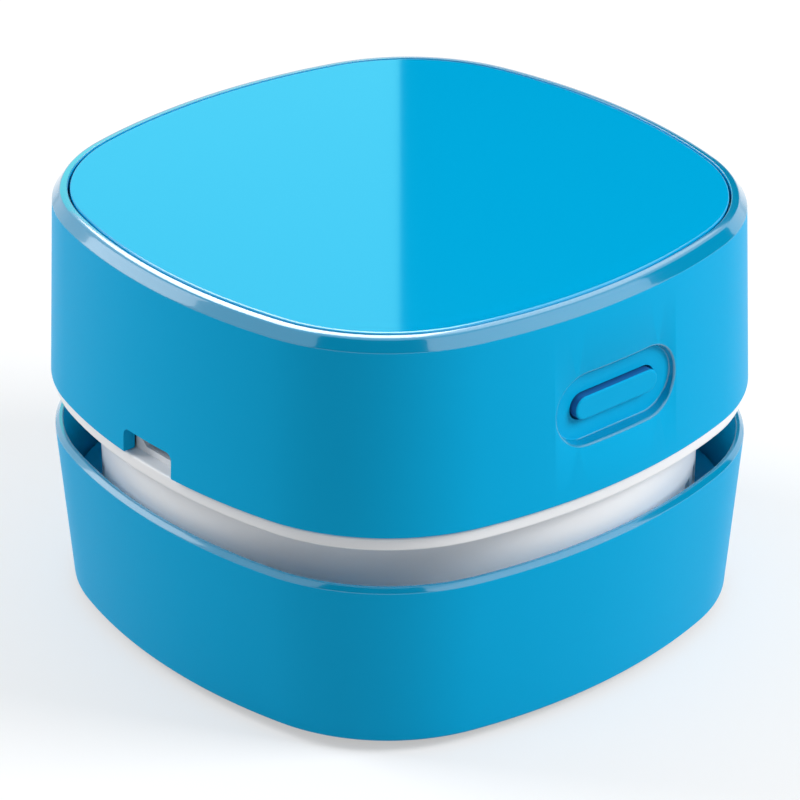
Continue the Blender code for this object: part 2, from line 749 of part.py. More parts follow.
def exhaust_slots():
    """Cutters for the barrel's air slots, in a group behind each corner, leaving the key's root whole."""
    pitch = math.degrees(EXHAUST_SLOT_PITCH / BARREL_RADIUS)
    clear = math.degrees((KEY_HALF_WIDTH + EXHAUST_SLOT_WIDTH / 2) / BARREL_RADIUS)
    half = EXHAUST_SLOT_WIDTH / 2
    low = FAN_COVER_TOP_Z + CLEARANCE
    cutters = []
    for corner in CORNERS:
        for i in range(EXHAUST_SLOTS):
            degrees = corner + pitch * (i - (EXHAUST_SLOTS - 1) / 2)
            if abs(degrees - KEY_DEGREES) < clear:
                continue
            slot = block(
                BARREL_BORE - OVERRUN,
                BARREL_RADIUS + OVERRUN,
                -half,
                half,
                low,
                low + EXHAUST_SLOT_HEIGHT,
            )
            cutters.append(rotated(slot, degrees))
    return cutters


def holder_screw_places():
    """The x and y of the two screws under the cell."""
    return [(side * HOLDER_SCREW_SPREAD, CELL_OFFSET) for side in (1, -1)]


def board_screw_places():
    """The x and y of the control board's two screws."""
    x = BOARD_EDGE_X + CONTROL_BOARD_LENGTH - BOARD_SCREW_MARGIN
    return [(x, side * BOARD_SCREW_OFFSET) for side in (1, -1)]


def clamp_screw_places():
    """The x and y of the motor clamp's two screws."""
    return [(side * CLAMP_POST_X, 0) for side in (1, -1)]


def make_inner_chassis():
    """The white deck and barrel: it shows in the gap, holds the motor, and plugs into the bin."""
    deck = swept(
        [
            (FLANGE_INSET + FLANGE_BEVEL, DECK_Z),
            (FLANGE_INSET, DECK_Z - FLANGE_BEVEL),
            (FLANGE_INSET, FLANGE_BOTTOM_Z + FLANGE_BEVEL),
            (FLANGE_INSET + FLANGE_BEVEL, FLANGE_BOTTOM_Z),
        ]
    )
    motor_hole = post(WELL_RADIUS + OVERRUN, FLANGE_BOTTOM_Z - OVERRUN, DECK_Z + OVERRUN, sides=ROUND_SIDES)
    well_outside = WELL_RADIUS + WELL_WALL
    nose_hole = MOTOR_BOSS_RADIUS + CLEARANCE
    well = turned(
        [
            (well_outside, DECK_Z + WELL_HEIGHT),
            (well_outside, WELL_FLOOR_Z - WELL_FLOOR),
            (nose_hole, WELL_FLOOR_Z - WELL_FLOOR),
            (nose_hole, WELL_FLOOR_Z),
            (WELL_RADIUS, WELL_FLOOR_Z),
            (WELL_RADIUS, DECK_Z + WELL_HEIGHT),
        ],
        loop=True,
    )
    barrel = turned(barrel_profile(), BARREL_SIDES, loop=True)
    clamp_posts = [
        post(CLAMP_POST_RADIUS, DECK_Z - OVERRUN, CLAMP_Z - CLEARANCE, x, y) for x, y in clamp_screw_places()
    ]
    standoffs = [
        post(STANDOFF_RADIUS, DECK_Z - OVERRUN, BOARD_Z - CLEARANCE, x, y) for x, y in board_screw_places()
    ]
    fan_posts = [
        post(
            FAN_POST_RADIUS,
            FAN_COVER_TOP_Z + CLEARANCE,
            FLANGE_BOTTOM_Z + OVERRUN,
            *on_circle(FAN_POST_CIRCLE, degrees),
        )
        for degrees in FAN_POST_DEGREES
    ]
    upstand = block(
        UPSTAND_X,
        UPSTAND_X + UPSTAND_THICKNESS,
        -UPSTAND_HALF,
        UPSTAND_HALF,
        DECK_Z - OVERRUN,
        UPSTAND_TOP_Z,
    )
    key = block(
        BARREL_BORE + OVERRUN,
        BARREL_RADIUS + KEY_REACH,
        -KEY_HALF_WIDTH,
        KEY_HALF_WIDTH,
        BARREL_BOTTOM_Z,
        BARREL_BOTTOM_Z + KEY_HEIGHT,
    )
    chassis = with_added(
        with_cut(deck, motor_hole), barrel, well, *clamp_posts, *standoffs, *fan_posts, upstand
    )
    chassis = with_added(chassis, rotated(key, KEY_DEGREES))
    low, high = PORT_Z - CLEARANCE, PORT_Z + PORT_HEIGHT + CLEARANCE
    port_hole = loft(
        [
            port_ring(PORT_HALF_WIDTH + CLEARANCE, low, high, PORT_CORNER, x)
            for x in (UPSTAND_X - OVERRUN, UPSTAND_X + UPSTAND_THICKNESS + OVERRUN)
        ]
    )
    deck_low, deck_high = FLANGE_BOTTOM_Z - OVERRUN, DECK_Z + OVERRUN
    holes = [pilot(deck_low, deck_high, *on_circle(SCREW_CIRCLE, corner)) for corner in CORNERS]
    holes += [pilot(deck_low, deck_high, x, y) for x, y in holder_screw_places()]
    holes += [
        pilot(CLAMP_Z - CLEARANCE - SCREW_BITE - PILOT_SPARE, CLAMP_Z + OVERRUN, x, y)
        for x, y in clamp_screw_places()
    ]
    holes += [
        pilot(BOARD_Z - CLEARANCE - SCREW_SHORT_BITE - PILOT_SPARE, BOARD_Z + OVERRUN, x, y)
        for x, y in board_screw_places()
    ]
    holes += [
        pilot(
            FAN_COVER_TOP_Z - OVERRUN,
            FAN_COVER_TOP_Z + CLEARANCE + SCREW_BITE + PILOT_SPARE,
            *on_circle(FAN_POST_CIRCLE, degrees),
        )
        for degrees in FAN_POST_DEGREES
    ]
    return with_cut(chassis, port_hole, *holes, *exhaust_slots())


# Motor and fan


def make_motor_can():
    """The motor's drawn steel can, with its nose pointing down and its back open for the end cap."""
    bore = SHAFT_RADIUS + CLEARANCE
    nose = MOTOR_FRONT_Z - MOTOR_BOSS_HEIGHT
    floor = MOTOR_FRONT_Z + MOTOR_WALL
    return turned(
        [
            (bore, nose),
            (MOTOR_BOSS_RADIUS, nose),
            (MOTOR_BOSS_RADIUS, MOTOR_FRONT_Z),
            (MOTOR_RADIUS, MOTOR_FRONT_Z),
            (MOTOR_RADIUS, MOTOR_BACK_Z),
            (MOTOR_RADIUS - MOTOR_WALL, MOTOR_BACK_Z),
            (MOTOR_RADIUS - MOTOR_WALL, floor),
            (bore, floor),
        ],
        loop=True,
    )


def terminal_slot(side, grow=0.0):
    """One motor terminal, or the slot that it stands in when grown."""
    half = TERMINAL_HALF_WIDTH + grow
    middle = side * TERMINAL_OFFSET
    thick = TERMINAL_THICKNESS / 2 + grow
    low = END_CAP_TOP_Z - END_CAP_THICKNESS / 2 - grow
    high = END_CAP_TOP_Z + TERMINAL_HEIGHT
    return block(-half, half, middle - thick, middle + thick, low, high)


def make_motor_end_cap():
    """The moulded cap on the motor's back, with slots for its two terminals."""
    bore = SHAFT_RADIUS + CLEARANCE
    low = MOTOR_BACK_Z + CLEARANCE
    cap = turned(
        [
            (bore, low),
            (MOTOR_RADIUS, low),
            (MOTOR_RADIUS, END_CAP_TOP_Z),
            (MOTOR_BOSS_RADIUS, END_CAP_TOP_Z),
            (MOTOR_BOSS_RADIUS, END_CAP_TOP_Z + END_CAP_BOSS_HEIGHT),
            (bore, END_CAP_TOP_Z + END_CAP_BOSS_HEIGHT),
        ],
        loop=True,
    )
    return with_cut(cap, terminal_slot(1, CLEARANCE), terminal_slot(-1, CLEARANCE))


def make_armature():
    """The slotted iron core and the commutator above it, round the shaft."""
    bore = SHAFT_RADIUS + CLEARANCE
    low = MOTOR_FRONT_Z + MOTOR_WALL + RUNNING_GAP
    high = low + ARMATURE_HEIGHT
    top = high + COMMUTATOR_HEIGHT
    core = turned(
        [
            (bore, low),
            (ARMATURE_RADIUS, low),
            (ARMATURE_RADIUS, high),
            (COMMUTATOR_RADIUS, high),
            (COMMUTATOR_RADIUS, top),
            (bore, top),
        ],
        loop=True,
    )
    half = ARMATURE_SLOT_WIDTH / 2
    inner = ARMATURE_RADIUS - ARMATURE_SLOT_DEPTH
    slots = []
    for i in range(ARMATURE_POLES):
        slot = block(inner, ARMATURE_RADIUS + OVERRUN, -half, half, low - OVERRUN, high + OVERRUN)
        slots.append(rotated(slot, 360 * i / ARMATURE_POLES))
    return with_cut(core, *slots)


def make_motor_shaft():
    """The steel shaft, from inside the impeller's hub to the end cap's bearing."""
    return turned(
        [(SHAFT_RADIUS, DISC_BOTTOM_Z - IMPELLER_HUB_RADIUS), (SHAFT_RADIUS, END_CAP_TOP_Z)], SMALL_SIDES
    )


def make_motor_clamp():
    """The steel strap over the motor's back."""
    half_length = CLAMP_POST_X + CLAMP_HALF_WIDTH
    ring = pill(half_length, CLAMP_HALF_WIDTH, 0)
    strap = loft([lying(ring, z) for z in (CLAMP_Z, CLAMP_Z + CLAMP_THICKNESS)])
    low, high = CLAMP_Z - OVERRUN, CLAMP_Z + CLAMP_THICKNESS + OVERRUN
    holes = [pilot(low, high, x, y) for x, y in clamp_screw_places()]
    return with_cut(strap, post(MOTOR_BOSS_RADIUS + CLEARANCE, low, high, sides=ROUND_SIDES), *holes)


def blade(degrees):
    """One swept blade under the impeller's disc."""
    sweep = math.radians(BLADE_SWEEP_DEGREES)
    tip = IMPELLER_RADIUS - BLADE_THICKNESS
    middle = []
    for i in range(BLADE_STEPS + 1):
        share = i / BLADE_STEPS
        radius = BLADE_ROOT + (tip - BLADE_ROOT) * share
        angle = -sweep * share
        middle.append(Vector((radius * math.cos(angle), radius * math.sin(angle), 0)))
    sides = ([], [])
    for i, point in enumerate(middle):
        along = middle[min(i + 1, BLADE_STEPS)] - middle[max(i - 1, 0)]
        across = Vector((-along.y, along.x, 0)).normalized() * BLADE_THICKNESS / 2
        sides[0].append(point + across)
        sides[1].append(point - across)
    ring = sides[0] + sides[1][::-1]
    heights = (BLADE_BOTTOM_Z, DISC_BOTTOM_Z + IMPELLER_DISC / 2)
    return rotated(loft([[point + Vector((0, 0, z)) for point in ring] for z in heights]), degrees)


def make_impeller():
    """The centrifugal impeller: a disc with a hub and swept blades below."""
    bore = SHAFT_RADIUS + CLEARANCE
    disc = turned(
        [
            (bore, DISC_BOTTOM_Z - IMPELLER_HUB_RADIUS),
            (IMPELLER_HUB_RADIUS, DISC_BOTTOM_Z - IMPELLER_HUB_RADIUS),
            (IMPELLER_HUB_RADIUS, DISC_BOTTOM_Z),
            (IMPELLER_RADIUS, DISC_BOTTOM_Z),
            (IMPELLER_RADIUS, DISC_TOP_Z),
            (bore, DISC_TOP_Z),
        ],
        WIDE_SIDES,
        loop=True,
    )
    return with_added(disc, *[blade(360 * i / BLADE_COUNT) for i in range(BLADE_COUNT)])


def make_fan_cover():
    """The plate that closes the barrel under the impeller, with the air's eye and the filter's spigot."""
    low, high = FAN_COVER_BOTTOM_Z, FAN_COVER_TOP_Z
    outer = BARREL_BORE - CLEARANCE
    plate = turned(
        [
            (outer, low),
            (outer, high),
            (EYE_RADIUS, high),
            (EYE_RADIUS, low),
            (SPIGOT_RADIUS - SPIGOT_WALL, low),
            (SPIGOT_RADIUS - SPIGOT_WALL, low - SPIGOT_HEIGHT),
            (SPIGOT_RADIUS, low - SPIGOT_HEIGHT),
            (SPIGOT_RADIUS, low),
        ],
        WIDE_SIDES,
        loop=True,
    )
    holes = [
        pilot(low - OVERRUN, high + OVERRUN, *on_circle(FAN_POST_CIRCLE, degrees))
        for degrees in FAN_POST_DEGREES
    ]
    return with_cut(plate, *holes)


def make_filter_frame():
    """The pull-off basket that holds the filter pad: a collar and a spoked floor."""
    outer = BASKET_BORE + BASKET_WALL
    floor = BASKET_BOTTOM_Z + BASKET_WALL
    cup = turned(
        [
            (BASKET_BORE, floor),
            (BASKET_BORE, BASKET_BOTTOM_Z + BASKET_DEPTH),
            (outer, BASKET_BOTTOM_Z + BASKET_DEPTH),
            (outer, BASKET_BOTTOM_Z),
        ],
        WIDE_SIDES,
    )
    window_outer = BASKET_BORE - BASKET_RIM
    span = 360 / BASKET_RIBS - math.degrees(BASKET_RIB_WIDTH / BASKET_HUB_RADIUS)
    window = [BASKET_HUB_RADIUS, window_outer, BASKET_BOTTOM_Z - OVERRUN, floor + OVERRUN]
    windows = [
        rotated(arc_block(*window, span, COVE_STEPS), 360 * i / BASKET_RIBS) for i in range(BASKET_RIBS)
    ]
    return with_cut(cup, *windows)


def make_filter_pad():
    """The filter pad that lies in the basket."""
    low = BASKET_BOTTOM_Z + BASKET_WALL + CLEARANCE
    radius = BASKET_BORE - CLEARANCE
    return turned([(radius, low), (radius, low + MEDIA_THICKNESS)], WIDE_SIDES)


# Cell and boards


def make_cell():
    """The rechargeable cell, lying along X, with its raised end at +X."""
    half = CELL_LENGTH / 2
    tube = turned(
        [
            (CELL_RADIUS - CELL_TIP, -half),
            (CELL_RADIUS, CELL_TIP - half),
            (CELL_RADIUS, half - 2 * CELL_TIP),
            (CELL_RADIUS - CELL_TIP, half - CELL_TIP),
            (CELL_TIP_RADIUS, half - CELL_TIP),
            (CELL_TIP_RADIUS, half),
        ]
    )
    return rotated(tube, 90, "Y")


def make_cell_holder():
    """The cradle: a floor with two pairs of arms that snap round the cell's ends."""
    bore = CELL_RADIUS + CLEARANCE
    half_length = CELL_LENGTH / 2 + CLEARANCE
    half_width = bore + HOLDER_WALL
    top = CELL_Z + HOLDER_GRIP
    end = half_length + HOLDER_WALL
    y0, y1 = CELL_OFFSET - half_width, CELL_OFFSET + half_width
    cradle = block(-end, end, y0, y1, HOLDER_Z, top)
    room = rotated(turned([(bore, -half_length), (bore, half_length)]), 90, "Y")
    cradle = with_cut(cradle, moved(room, y=CELL_OFFSET, z=CELL_Z))
    middle = end - HOLDER_ARM_LENGTH
    floor = HOLDER_Z + HOLDER_FLOOR
    gap = block(-middle, middle, y0 - OVERRUN, y1 + OVERRUN, floor, top + OVERRUN)
    tab_half = CELL_TIP_RADIUS / 2
    tab_cuts = [
        block(x0, x1, CELL_OFFSET - tab_half, CELL_OFFSET + tab_half, CELL_Z - tab_half, top + OVERRUN)
        for x0, x1 in ((-end - OVERRUN, OVERRUN - half_length), (half_length - OVERRUN, end + OVERRUN))
    ]
    cradle = with_cut(cradle, gap, *tab_cuts)
    sink = floor - SCREW_HEAD_HEIGHT - CLEARANCE
    sinks = [
        post(SCREW_HEAD_RADIUS + CLEARANCE, sink, floor + OVERRUN, x, y) for x, y in holder_screw_places()
    ]
    holes = [pilot(HOLDER_Z - OVERRUN, sink + OVERRUN, x, y) for x, y in holder_screw_places()]
    return with_cut(with_cut(cradle, *sinks), *holes)


def make_control_board():
    """The charging and motor board, with its chip and coil, standing on two posts over the port."""
    x0, x1 = BOARD_EDGE_X, BOARD_EDGE_X + CONTROL_BOARD_LENGTH
    top = BOARD_Z + BOARD_THICKNESS
    board = block(x0, x1, -CONTROL_BOARD_HALF_WIDTH, CONTROL_BOARD_HALF_WIDTH, BOARD_Z, top)
    middle = (x0 + x1) / 2
    sunk = top - BOARD_THICKNESS / 2
    chip = block(
        middle - CHIP_HALF, middle + CHIP_HALF, -CHIP_HALF, CHIP_HALF, sunk, top + CHIP_HEIGHT
    )
    coil = post(COIL_RADIUS, sunk, top + COIL_HEIGHT, x0 + BOARD_SCREW_MARGIN, BOARD_SCREW_OFFSET)
    board = with_added(board, chip, coil)
    return with_cut(board, *[pilot(BOARD_Z - OVERRUN, top + OVERRUN, x, y) for x, y in board_screw_places()])


def make_port_shell():
    """The charging port's folded metal shell, open towards the notch."""
    low, high = PORT_Z, PORT_Z + PORT_HEIGHT
    back = PORT_X + PORT_DEPTH
    inner = (PORT_HALF_WIDTH - PORT_METAL, low + PORT_METAL, high - PORT_METAL, PORT_CORNER)
    outer = (PORT_HALF_WIDTH, low, high, PORT_CORNER)
    return loft(
        [
            port_ring(*inner, back - PORT_METAL),
            port_ring(*inner, PORT_X),
            port_ring(*outer, PORT_X),
            port_ring(*outer, back),
        ]
    )


def make_port_tongue():
    """The contact tongue inside the charging port."""
    high = PORT_Z + PORT_HEIGHT - PORT_METAL - CLEARANCE
    back = PORT_X + PORT_DEPTH - PORT_METAL - CLEARANCE
    return block(
        back - TONGUE_LENGTH, back, -TONGUE_HALF_WIDTH, TONGUE_HALF_WIDTH, high - TONGUE_THICKNESS, high
    )


# Lower body


def make_lower_housing():
    """The lower blue shell: the bin's wall, with a ribbed screw boss in each corner."""
    bottom = lower_inset(BOTTOM_Z)
    wall = swept(
        [
            (bottom + FOOT_EDGE_BEVEL, BOTTOM_Z),
            (bottom, BOTTOM_Z + FOOT_EDGE_BEVEL),
            (RIM_INSET, RIM_Z - RIM_CHAMFER),
            (RIM_INSET + RIM_CHAMFER, RIM_Z),
            (RIM_INSET + LOWER_WALL, RIM_Z),
            (bottom + LOWER_WALL, BOTTOM_Z),
        ],
        loop=True,
    )
    low, high = BASE_TOP_Z + CLEARANCE, SHELF_BOTTOM_Z - CLEARANCE
    half = BOSS_RIB_THICKNESS / 2
    rib_end = diagonal(lower_inset(low) + LOWER_WALL * WALL_BITE_SHARE)
    ribs = [
        rotated(block(base_screw_circle(), rib_end, -half, half, low, high), corner) for corner in CORNERS
    ]
    bosses = [
        post(BASE_BOSS_RADIUS, low, high, *on_circle(base_screw_circle(), corner)) for corner in CORNERS
    ]
    housing = with_added(with_added(wall, *ribs), *bosses)
    pilots = [
        pilot(low - OVERRUN, low + SCREW_BITE + PILOT_SPARE, *on_circle(base_screw_circle(), corner))
        for corner in CORNERS
    ]
    return with_cut(housing, *pilots)


def make_barrel_seat():
    """The ring plate on the bin's bosses that the barrel seats on, with two guides for the barrel's key."""
    plate = swept([(SEAT_INSET, SHELF_BOTTOM_Z), (SEAT_INSET, SHELF_TOP_Z)])
    opening = post(SHELF_BORE, SHELF_BOTTOM_Z - OVERRUN, SHELF_TOP_Z + OVERRUN, sides=WIDE_SIDES)
    inner = BARREL_RADIUS + 2 * CLEARANCE
    outer = diagonal(SEAT_INSET) - CLEARANCE
    near = KEY_HALF_WIDTH + CLEARANCE
    far = near + GUIDE_THICKNESS
    guides = [
        rotated(
            block(inner, outer, y0, y1, SHELF_TOP_Z - OVERRUN, SHELF_TOP_Z + GUIDE_HEIGHT), KEY_DEGREES
        )
        for y0, y1 in ((near, far), (-far, -near))
    ]
    return with_added(with_cut(plate, opening), *guides)


def base_screw_circle():
    """The radius of the base screws' circle, set from the base plate's corner."""
    return diagonal(BASE_INSET + CLEARANCE) - BASE_SCREW_INSET


def foot_circle():
    """The radius of the feet's circle, set from the base plate's corner."""
    return diagonal(BASE_INSET + CLEARANCE) - FOOT_INSET


def make_seal_ring():
    """The soft ring on the shelf that the barrel presses on."""
    low = SHELF_TOP_Z + CLEARANCE
    inner = BARREL_BORE - SEAL_LIP
    return turned(
        [
            (inner, low),
            (BARREL_RADIUS, low),
            (BARREL_RADIUS, low + SEAL_THICKNESS),
            (inner, low + SEAL_THICKNESS),
        ],
        BARREL_SIDES,
        loop=True,
    )


def make_base_plate():
    """The bottom plate: the suction mouth and its chimney, brush grooves, foot seats and screw sinks."""
    inset = BASE_INSET + CLEARANCE
    plate = swept([(inset, BOTTOM_Z), (inset, BASE_TOP_Z)])
    chimney_top = BASE_TOP_Z + CHIMNEY_HEIGHT
    ring = pill(MOUTH_HALF_LENGTH + MOUTH_WALL, MOUTH_HALF_WIDTH + MOUTH_WALL, 0)
    chimney = loft([lying(ring, z) for z in (BASE_TOP_Z - OVERRUN, chimney_top)])
    plate = with_added(plate, chimney)
    mouth = pill(MOUTH_HALF_LENGTH, MOUTH_HALF_WIDTH, 0)
    cutters = [loft([lying(mouth, z) for z in (BOTTOM_Z - OVERRUN, chimney_top + OVERRUN)])]
    groove_half = BRUSH_HALF_WIDTH + CLEARANCE
    groove_span = BRUSH_SPAN_DEGREES + 2 * math.degrees(CLEARANCE / BRUSH_RADIUS)
    for i in range(4):
        groove = arc_block(
            BRUSH_RADIUS - groove_half,
            BRUSH_RADIUS + groove_half,
            BOTTOM_Z - OVERRUN,
            BOTTOM_Z + BRUSH_GROOVE + CLEARANCE,
            groove_span,
            BRUSH_STEPS,
        )
        cutters.append(rotated(groove, 90 * i))
    sink_top = BOTTOM_Z + SCREW_HEAD_HEIGHT + CLEARANCE
    for corner in CORNERS:
        seat = on_circle(foot_circle(), corner)
        foot_top = BOTTOM_Z + FOOT_SINK + CLEARANCE
        cutters.append(
            post(FOOT_RADIUS + CLEARANCE, BOTTOM_Z - OVERRUN, foot_top, *seat, sides=ROUND_SIDES)
        )
        screw_place = on_circle(base_screw_circle(), corner)
        cutters.append(post(SCREW_HEAD_RADIUS + CLEARANCE, BOTTOM_Z - OVERRUN, sink_top, *screw_place))
    plate = with_cut(plate, *cutters)
    holes = [
        pilot(sink_top - OVERRUN, BASE_TOP_Z + OVERRUN, *on_circle(base_screw_circle(), corner))
        for corner in CORNERS
    ]
    return with_cut(plate, *holes)


def make_brush_strip():
    """One arc of the brush round the mouth, its backing sunk in the base plate's groove."""
    return arc_block(
        BRUSH_RADIUS - BRUSH_HALF_WIDTH,
        BRUSH_RADIUS + BRUSH_HALF_WIDTH,
        BRUSH_FLOOR_GAP,
        BOTTOM_Z + BRUSH_GROOVE,
        BRUSH_SPAN_DEGREES,
        BRUSH_STEPS,
    )


def make_foot():
    """A glide foot, sunk in its seat."""
    return turned(
        [(FOOT_RADIUS - FOOT_BEVEL, 0), (FOOT_RADIUS, FOOT_BEVEL), (FOOT_RADIUS, BOTTOM_Z + FOOT_SINK)],
        ROUND_SIDES,
    )


# Leads


def smooth_route(points):
    """A smooth route through the points, each span cut into short steps."""
    ends = [2 * points[0] - points[1], *points, 2 * points[-1] - points[-2]]
    route = []
    for before, start, end, after in zip(ends, ends[1:], ends[2:], ends[3:]):
        for i in range(LEAD_STEPS):
            t = i / LEAD_STEPS
            slope_in = (end - before) / 2
            slope_out = (after - start) / 2
            route.append(
                start * (2 * t**3 - 3 * t**2 + 1)
                + slope_in * (t**3 - 2 * t**2 + t)
                + end * (3 * t**2 - 2 * t**3)
                + slope_out * (t**3 - t**2)
            )
    route.append(points[-1])
    return route


def lead(name, points, finish, parent):
    """An insulated lead along a smooth route."""
    curve = bpy.data.curves.new(name, "CURVE")
    curve.dimensions = "3D"
    curve.bevel_depth = LEAD_RADIUS
    curve.bevel_resolution = 2
    curve.use_fill_caps = True
    route = smooth_route([Vector(point) for point in points])
    spline = curve.splines.new("POLY")
    spline.points.add(len(route) - 1)
    for target, point in zip(spline.points, route):
        target.co = (*point, 1.0)
    curve.materials.append(finish)
    return place(name, curve, parent)


def main():
    """Clears the scene and builds every piece."""
    for old in list(bpy.data.objects):
        bpy.data.objects.remove(old, do_unlink=True)

    blue = material("blue_abs", "00A3DC", 0.35)
    white = material("white_abs", "F2F3F5", 0.4)
    grey = material("grey_abs", "5C6166", 0.5)
    black = material("black_nylon", "1E2022", 0.6)
    rubber = material("grey_rubber", "3A3D40", 0.8)
    foam = material("filter_felt", "D9DCDD", 0.95)
    steel = material("steel", "B9BDC1", 0.3, 1.0)
    brass = material("brass", "C9A54B", 0.35, 1.0)
    green = material("board_green", "1F6B45", 0.5)
    sleeve = material("cell_sleeve", "3B6FB5", 0.45)
    red = material("red_pvc", "C2272D", 0.45)
    dark = material("black_pvc", "17181A", 0.45)

    base = body("base_body")
    upper = body("upper_body")
    rotor = body("rotor_body", (0, 0, DISC_BOTTOM_Z))
    basket = body("filter_body", (0, 0, BASKET_BOTTOM_Z))
    button = body("button_body", (0, BUTTON_FRONT_Y, BUTTON_Z))
    plunger = body("plunger_body", (0, PLUNGER_TIP_Y, BUTTON_Z))
    switch_origin = (0, 0, BUTTON_Z)

    place("top_cover", mesh_of("top_cover", make_top_cover(), blue), upper)
    place("upper_housing", mesh_of("upper_housing", make_upper_housing(), blue), upper)
    place("inner_chassis", mesh_of("inner_chassis", make_inner_chassis(), white), upper)
    place("power_button", mesh_of("power_button", make_power_button(), blue), button, switch_origin)
    place("switch_body", mesh_of("switch_body", make_switch_body(), black), upper, switch_origin)
    stem = rod_y(PLUNGER_RADIUS, PLUNGER_TIP_Y, SWITCH_FRONT_Y + PLUNGER_SUNK)
    place("switch_plunger", mesh_of("switch_plunger", stem, white), plunger, switch_origin)
    place("switch_board", mesh_of("switch_board", make_switch_board(), green), upper, switch_origin)

    place("motor_can", mesh_of("motor_can", make_motor_can(), steel), upper)
    place("motor_end_cap", mesh_of("motor_end_cap", make_motor_end_cap(), black), upper)
    for side, label in ((1, "rear"), (-1, "front")):
        name = f"motor_terminal_{label}"
        place(name, mesh_of(name, terminal_slot(side), brass), upper)
    place("motor_armature", mesh_of("motor_armature", make_armature(), steel), rotor)
    place("motor_shaft", mesh_of("motor_shaft", make_motor_shaft(), steel), rotor)
    place("motor_clamp", mesh_of("motor_clamp", make_motor_clamp(), steel), upper)
    place("impeller", mesh_of("impeller", make_impeller(), white), rotor)
    place("fan_cover", mesh_of("fan_cover", make_fan_cover(), white), upper)
    place("filter_frame", mesh_of("filter_frame", make_filter_frame(), grey), basket)
    place("filter_pad", mesh_of("filter_pad", make_filter_pad(), foam), basket)

    place("battery_cell", mesh_of("battery_cell", make_cell(), sleeve), upper, (0, CELL_OFFSET, CELL_Z))
    place("cell_holder", mesh_of("cell_holder", make_cell_holder(), black), upper)
    place("control_board", mesh_of("control_board", make_control_board(), green), upper)
    place("charge_port_shell", mesh_of("charge_port_shell", make_port_shell(), steel), upper)
    place("charge_port_tongue", mesh_of("charge_port_tongue", make_port_tongue(), black), upper)

    place("lower_housing", mesh_of("lower_housing", make_lower_housing(), blue), base)
    place("barrel_seat", mesh_of("barrel_seat", make_barrel_seat(), blue), base)
    place("base_plate", mesh_of("base_plate", make_base_plate(), grey), base)
    place("seal_ring", mesh_of("seal_ring", make_seal_ring(), rubber), base)
    brush = mesh_of("brush_strip", make_brush_strip(), black)
    for i, label in enumerate(("right", "rear", "left", "front")):
        place(f"brush_strip_{label}", brush, base, (0, 0, 0), (0, 0, math.pi / 2 * i))
    foot = mesh_of("foot", make_foot(), rubber)
    for i, corner in enumerate(CORNERS, 1):
        place(f"foot_{i}", foot, base, (*on_circle(foot_circle(), corner), 0))

    add_screws(upper, base, steel)
    add_leads(upper, red, dark)


def add_screws(upper, base, steel):
    """Every screw, on its seat."""
    down = (math.pi, 0, 0)
    forward = (math.pi / 2, 0, 0)
    housing_length = CLEARANCE + FLANGE_THICKNESS + CLEARANCE + SCREW_BITE
    housing_screw = mesh_of("housing_screw", screw(housing_length), steel)
    for i, corner in enumerate(CORNERS, 1):
        seat = (*on_circle(SCREW_CIRCLE, corner), FLANGE_BOTTOM_Z - CLEARANCE)
        place(f"housing_screw_{i}", housing_screw, upper, seat)

    fan_length = CLEARANCE + FAN_COVER_THICKNESS + CLEARANCE + SCREW_BITE
    fan_screw = mesh_of("fan_cover_screw", screw(fan_length), steel)
    for i, degrees in enumerate(FAN_POST_DEGREES, 1):
        seat = (*on_circle(FAN_POST_CIRCLE, degrees), FAN_COVER_BOTTOM_Z - CLEARANCE)
        place(f"fan_cover_screw_{i}", fan_screw, upper, seat)

    clamp_length = CLEARANCE + CLAMP_THICKNESS + CLEARANCE + SCREW_BITE
    clamp_screw = mesh_of("clamp_screw", screw(clamp_length), steel)
    for i, (x, y) in enumerate(clamp_screw_places(), 1):
        place(f"clamp_screw_{i}", clamp_screw, upper, (x, y, CLAMP_Z + CLAMP_THICKNESS + CLEARANCE), down)

    board_length = CLEARANCE + BOARD_THICKNESS + CLEARANCE + SCREW_SHORT_BITE
    board_screw = mesh_of("board_screw", screw(board_length), steel)
    for i, (x, y) in enumerate(board_screw_places(), 1):
        place(f"board_screw_{i}", board_screw, upper, (x, y, BOARD_Z + BOARD_THICKNESS + CLEARANCE), down)
    for i, side in enumerate((1, -1), 1):
        seat = (side * SWITCH_BOSS_SPREAD, SWITCH_BOARD_Y + BOARD_THICKNESS + CLEARANCE, BUTTON_Z)
        place(f"switch_screw_{i}", board_screw, upper, seat, forward)

    seat_z = HOLDER_Z + HOLDER_FLOOR - SCREW_HEAD_HEIGHT
    holder_screw = mesh_of("holder_screw", screw(seat_z - FLANGE_BOTTOM_Z - CLEARANCE), steel)
    for i, (x, y) in enumerate(holder_screw_places(), 1):
        place(f"holder_screw_{i}", holder_screw, upper, (x, y, seat_z), down)

    base_seat = BOTTOM_Z + SCREW_HEAD_HEIGHT
    base_length = BASE_TOP_Z + CLEARANCE + SCREW_BITE - base_seat
    base_screw = mesh_of("base_screw", screw(base_length), steel)
    for i, corner in enumerate(CORNERS, 1):
        place(f"base_screw_{i}", base_screw, base, (*on_circle(base_screw_circle(), corner), base_seat))


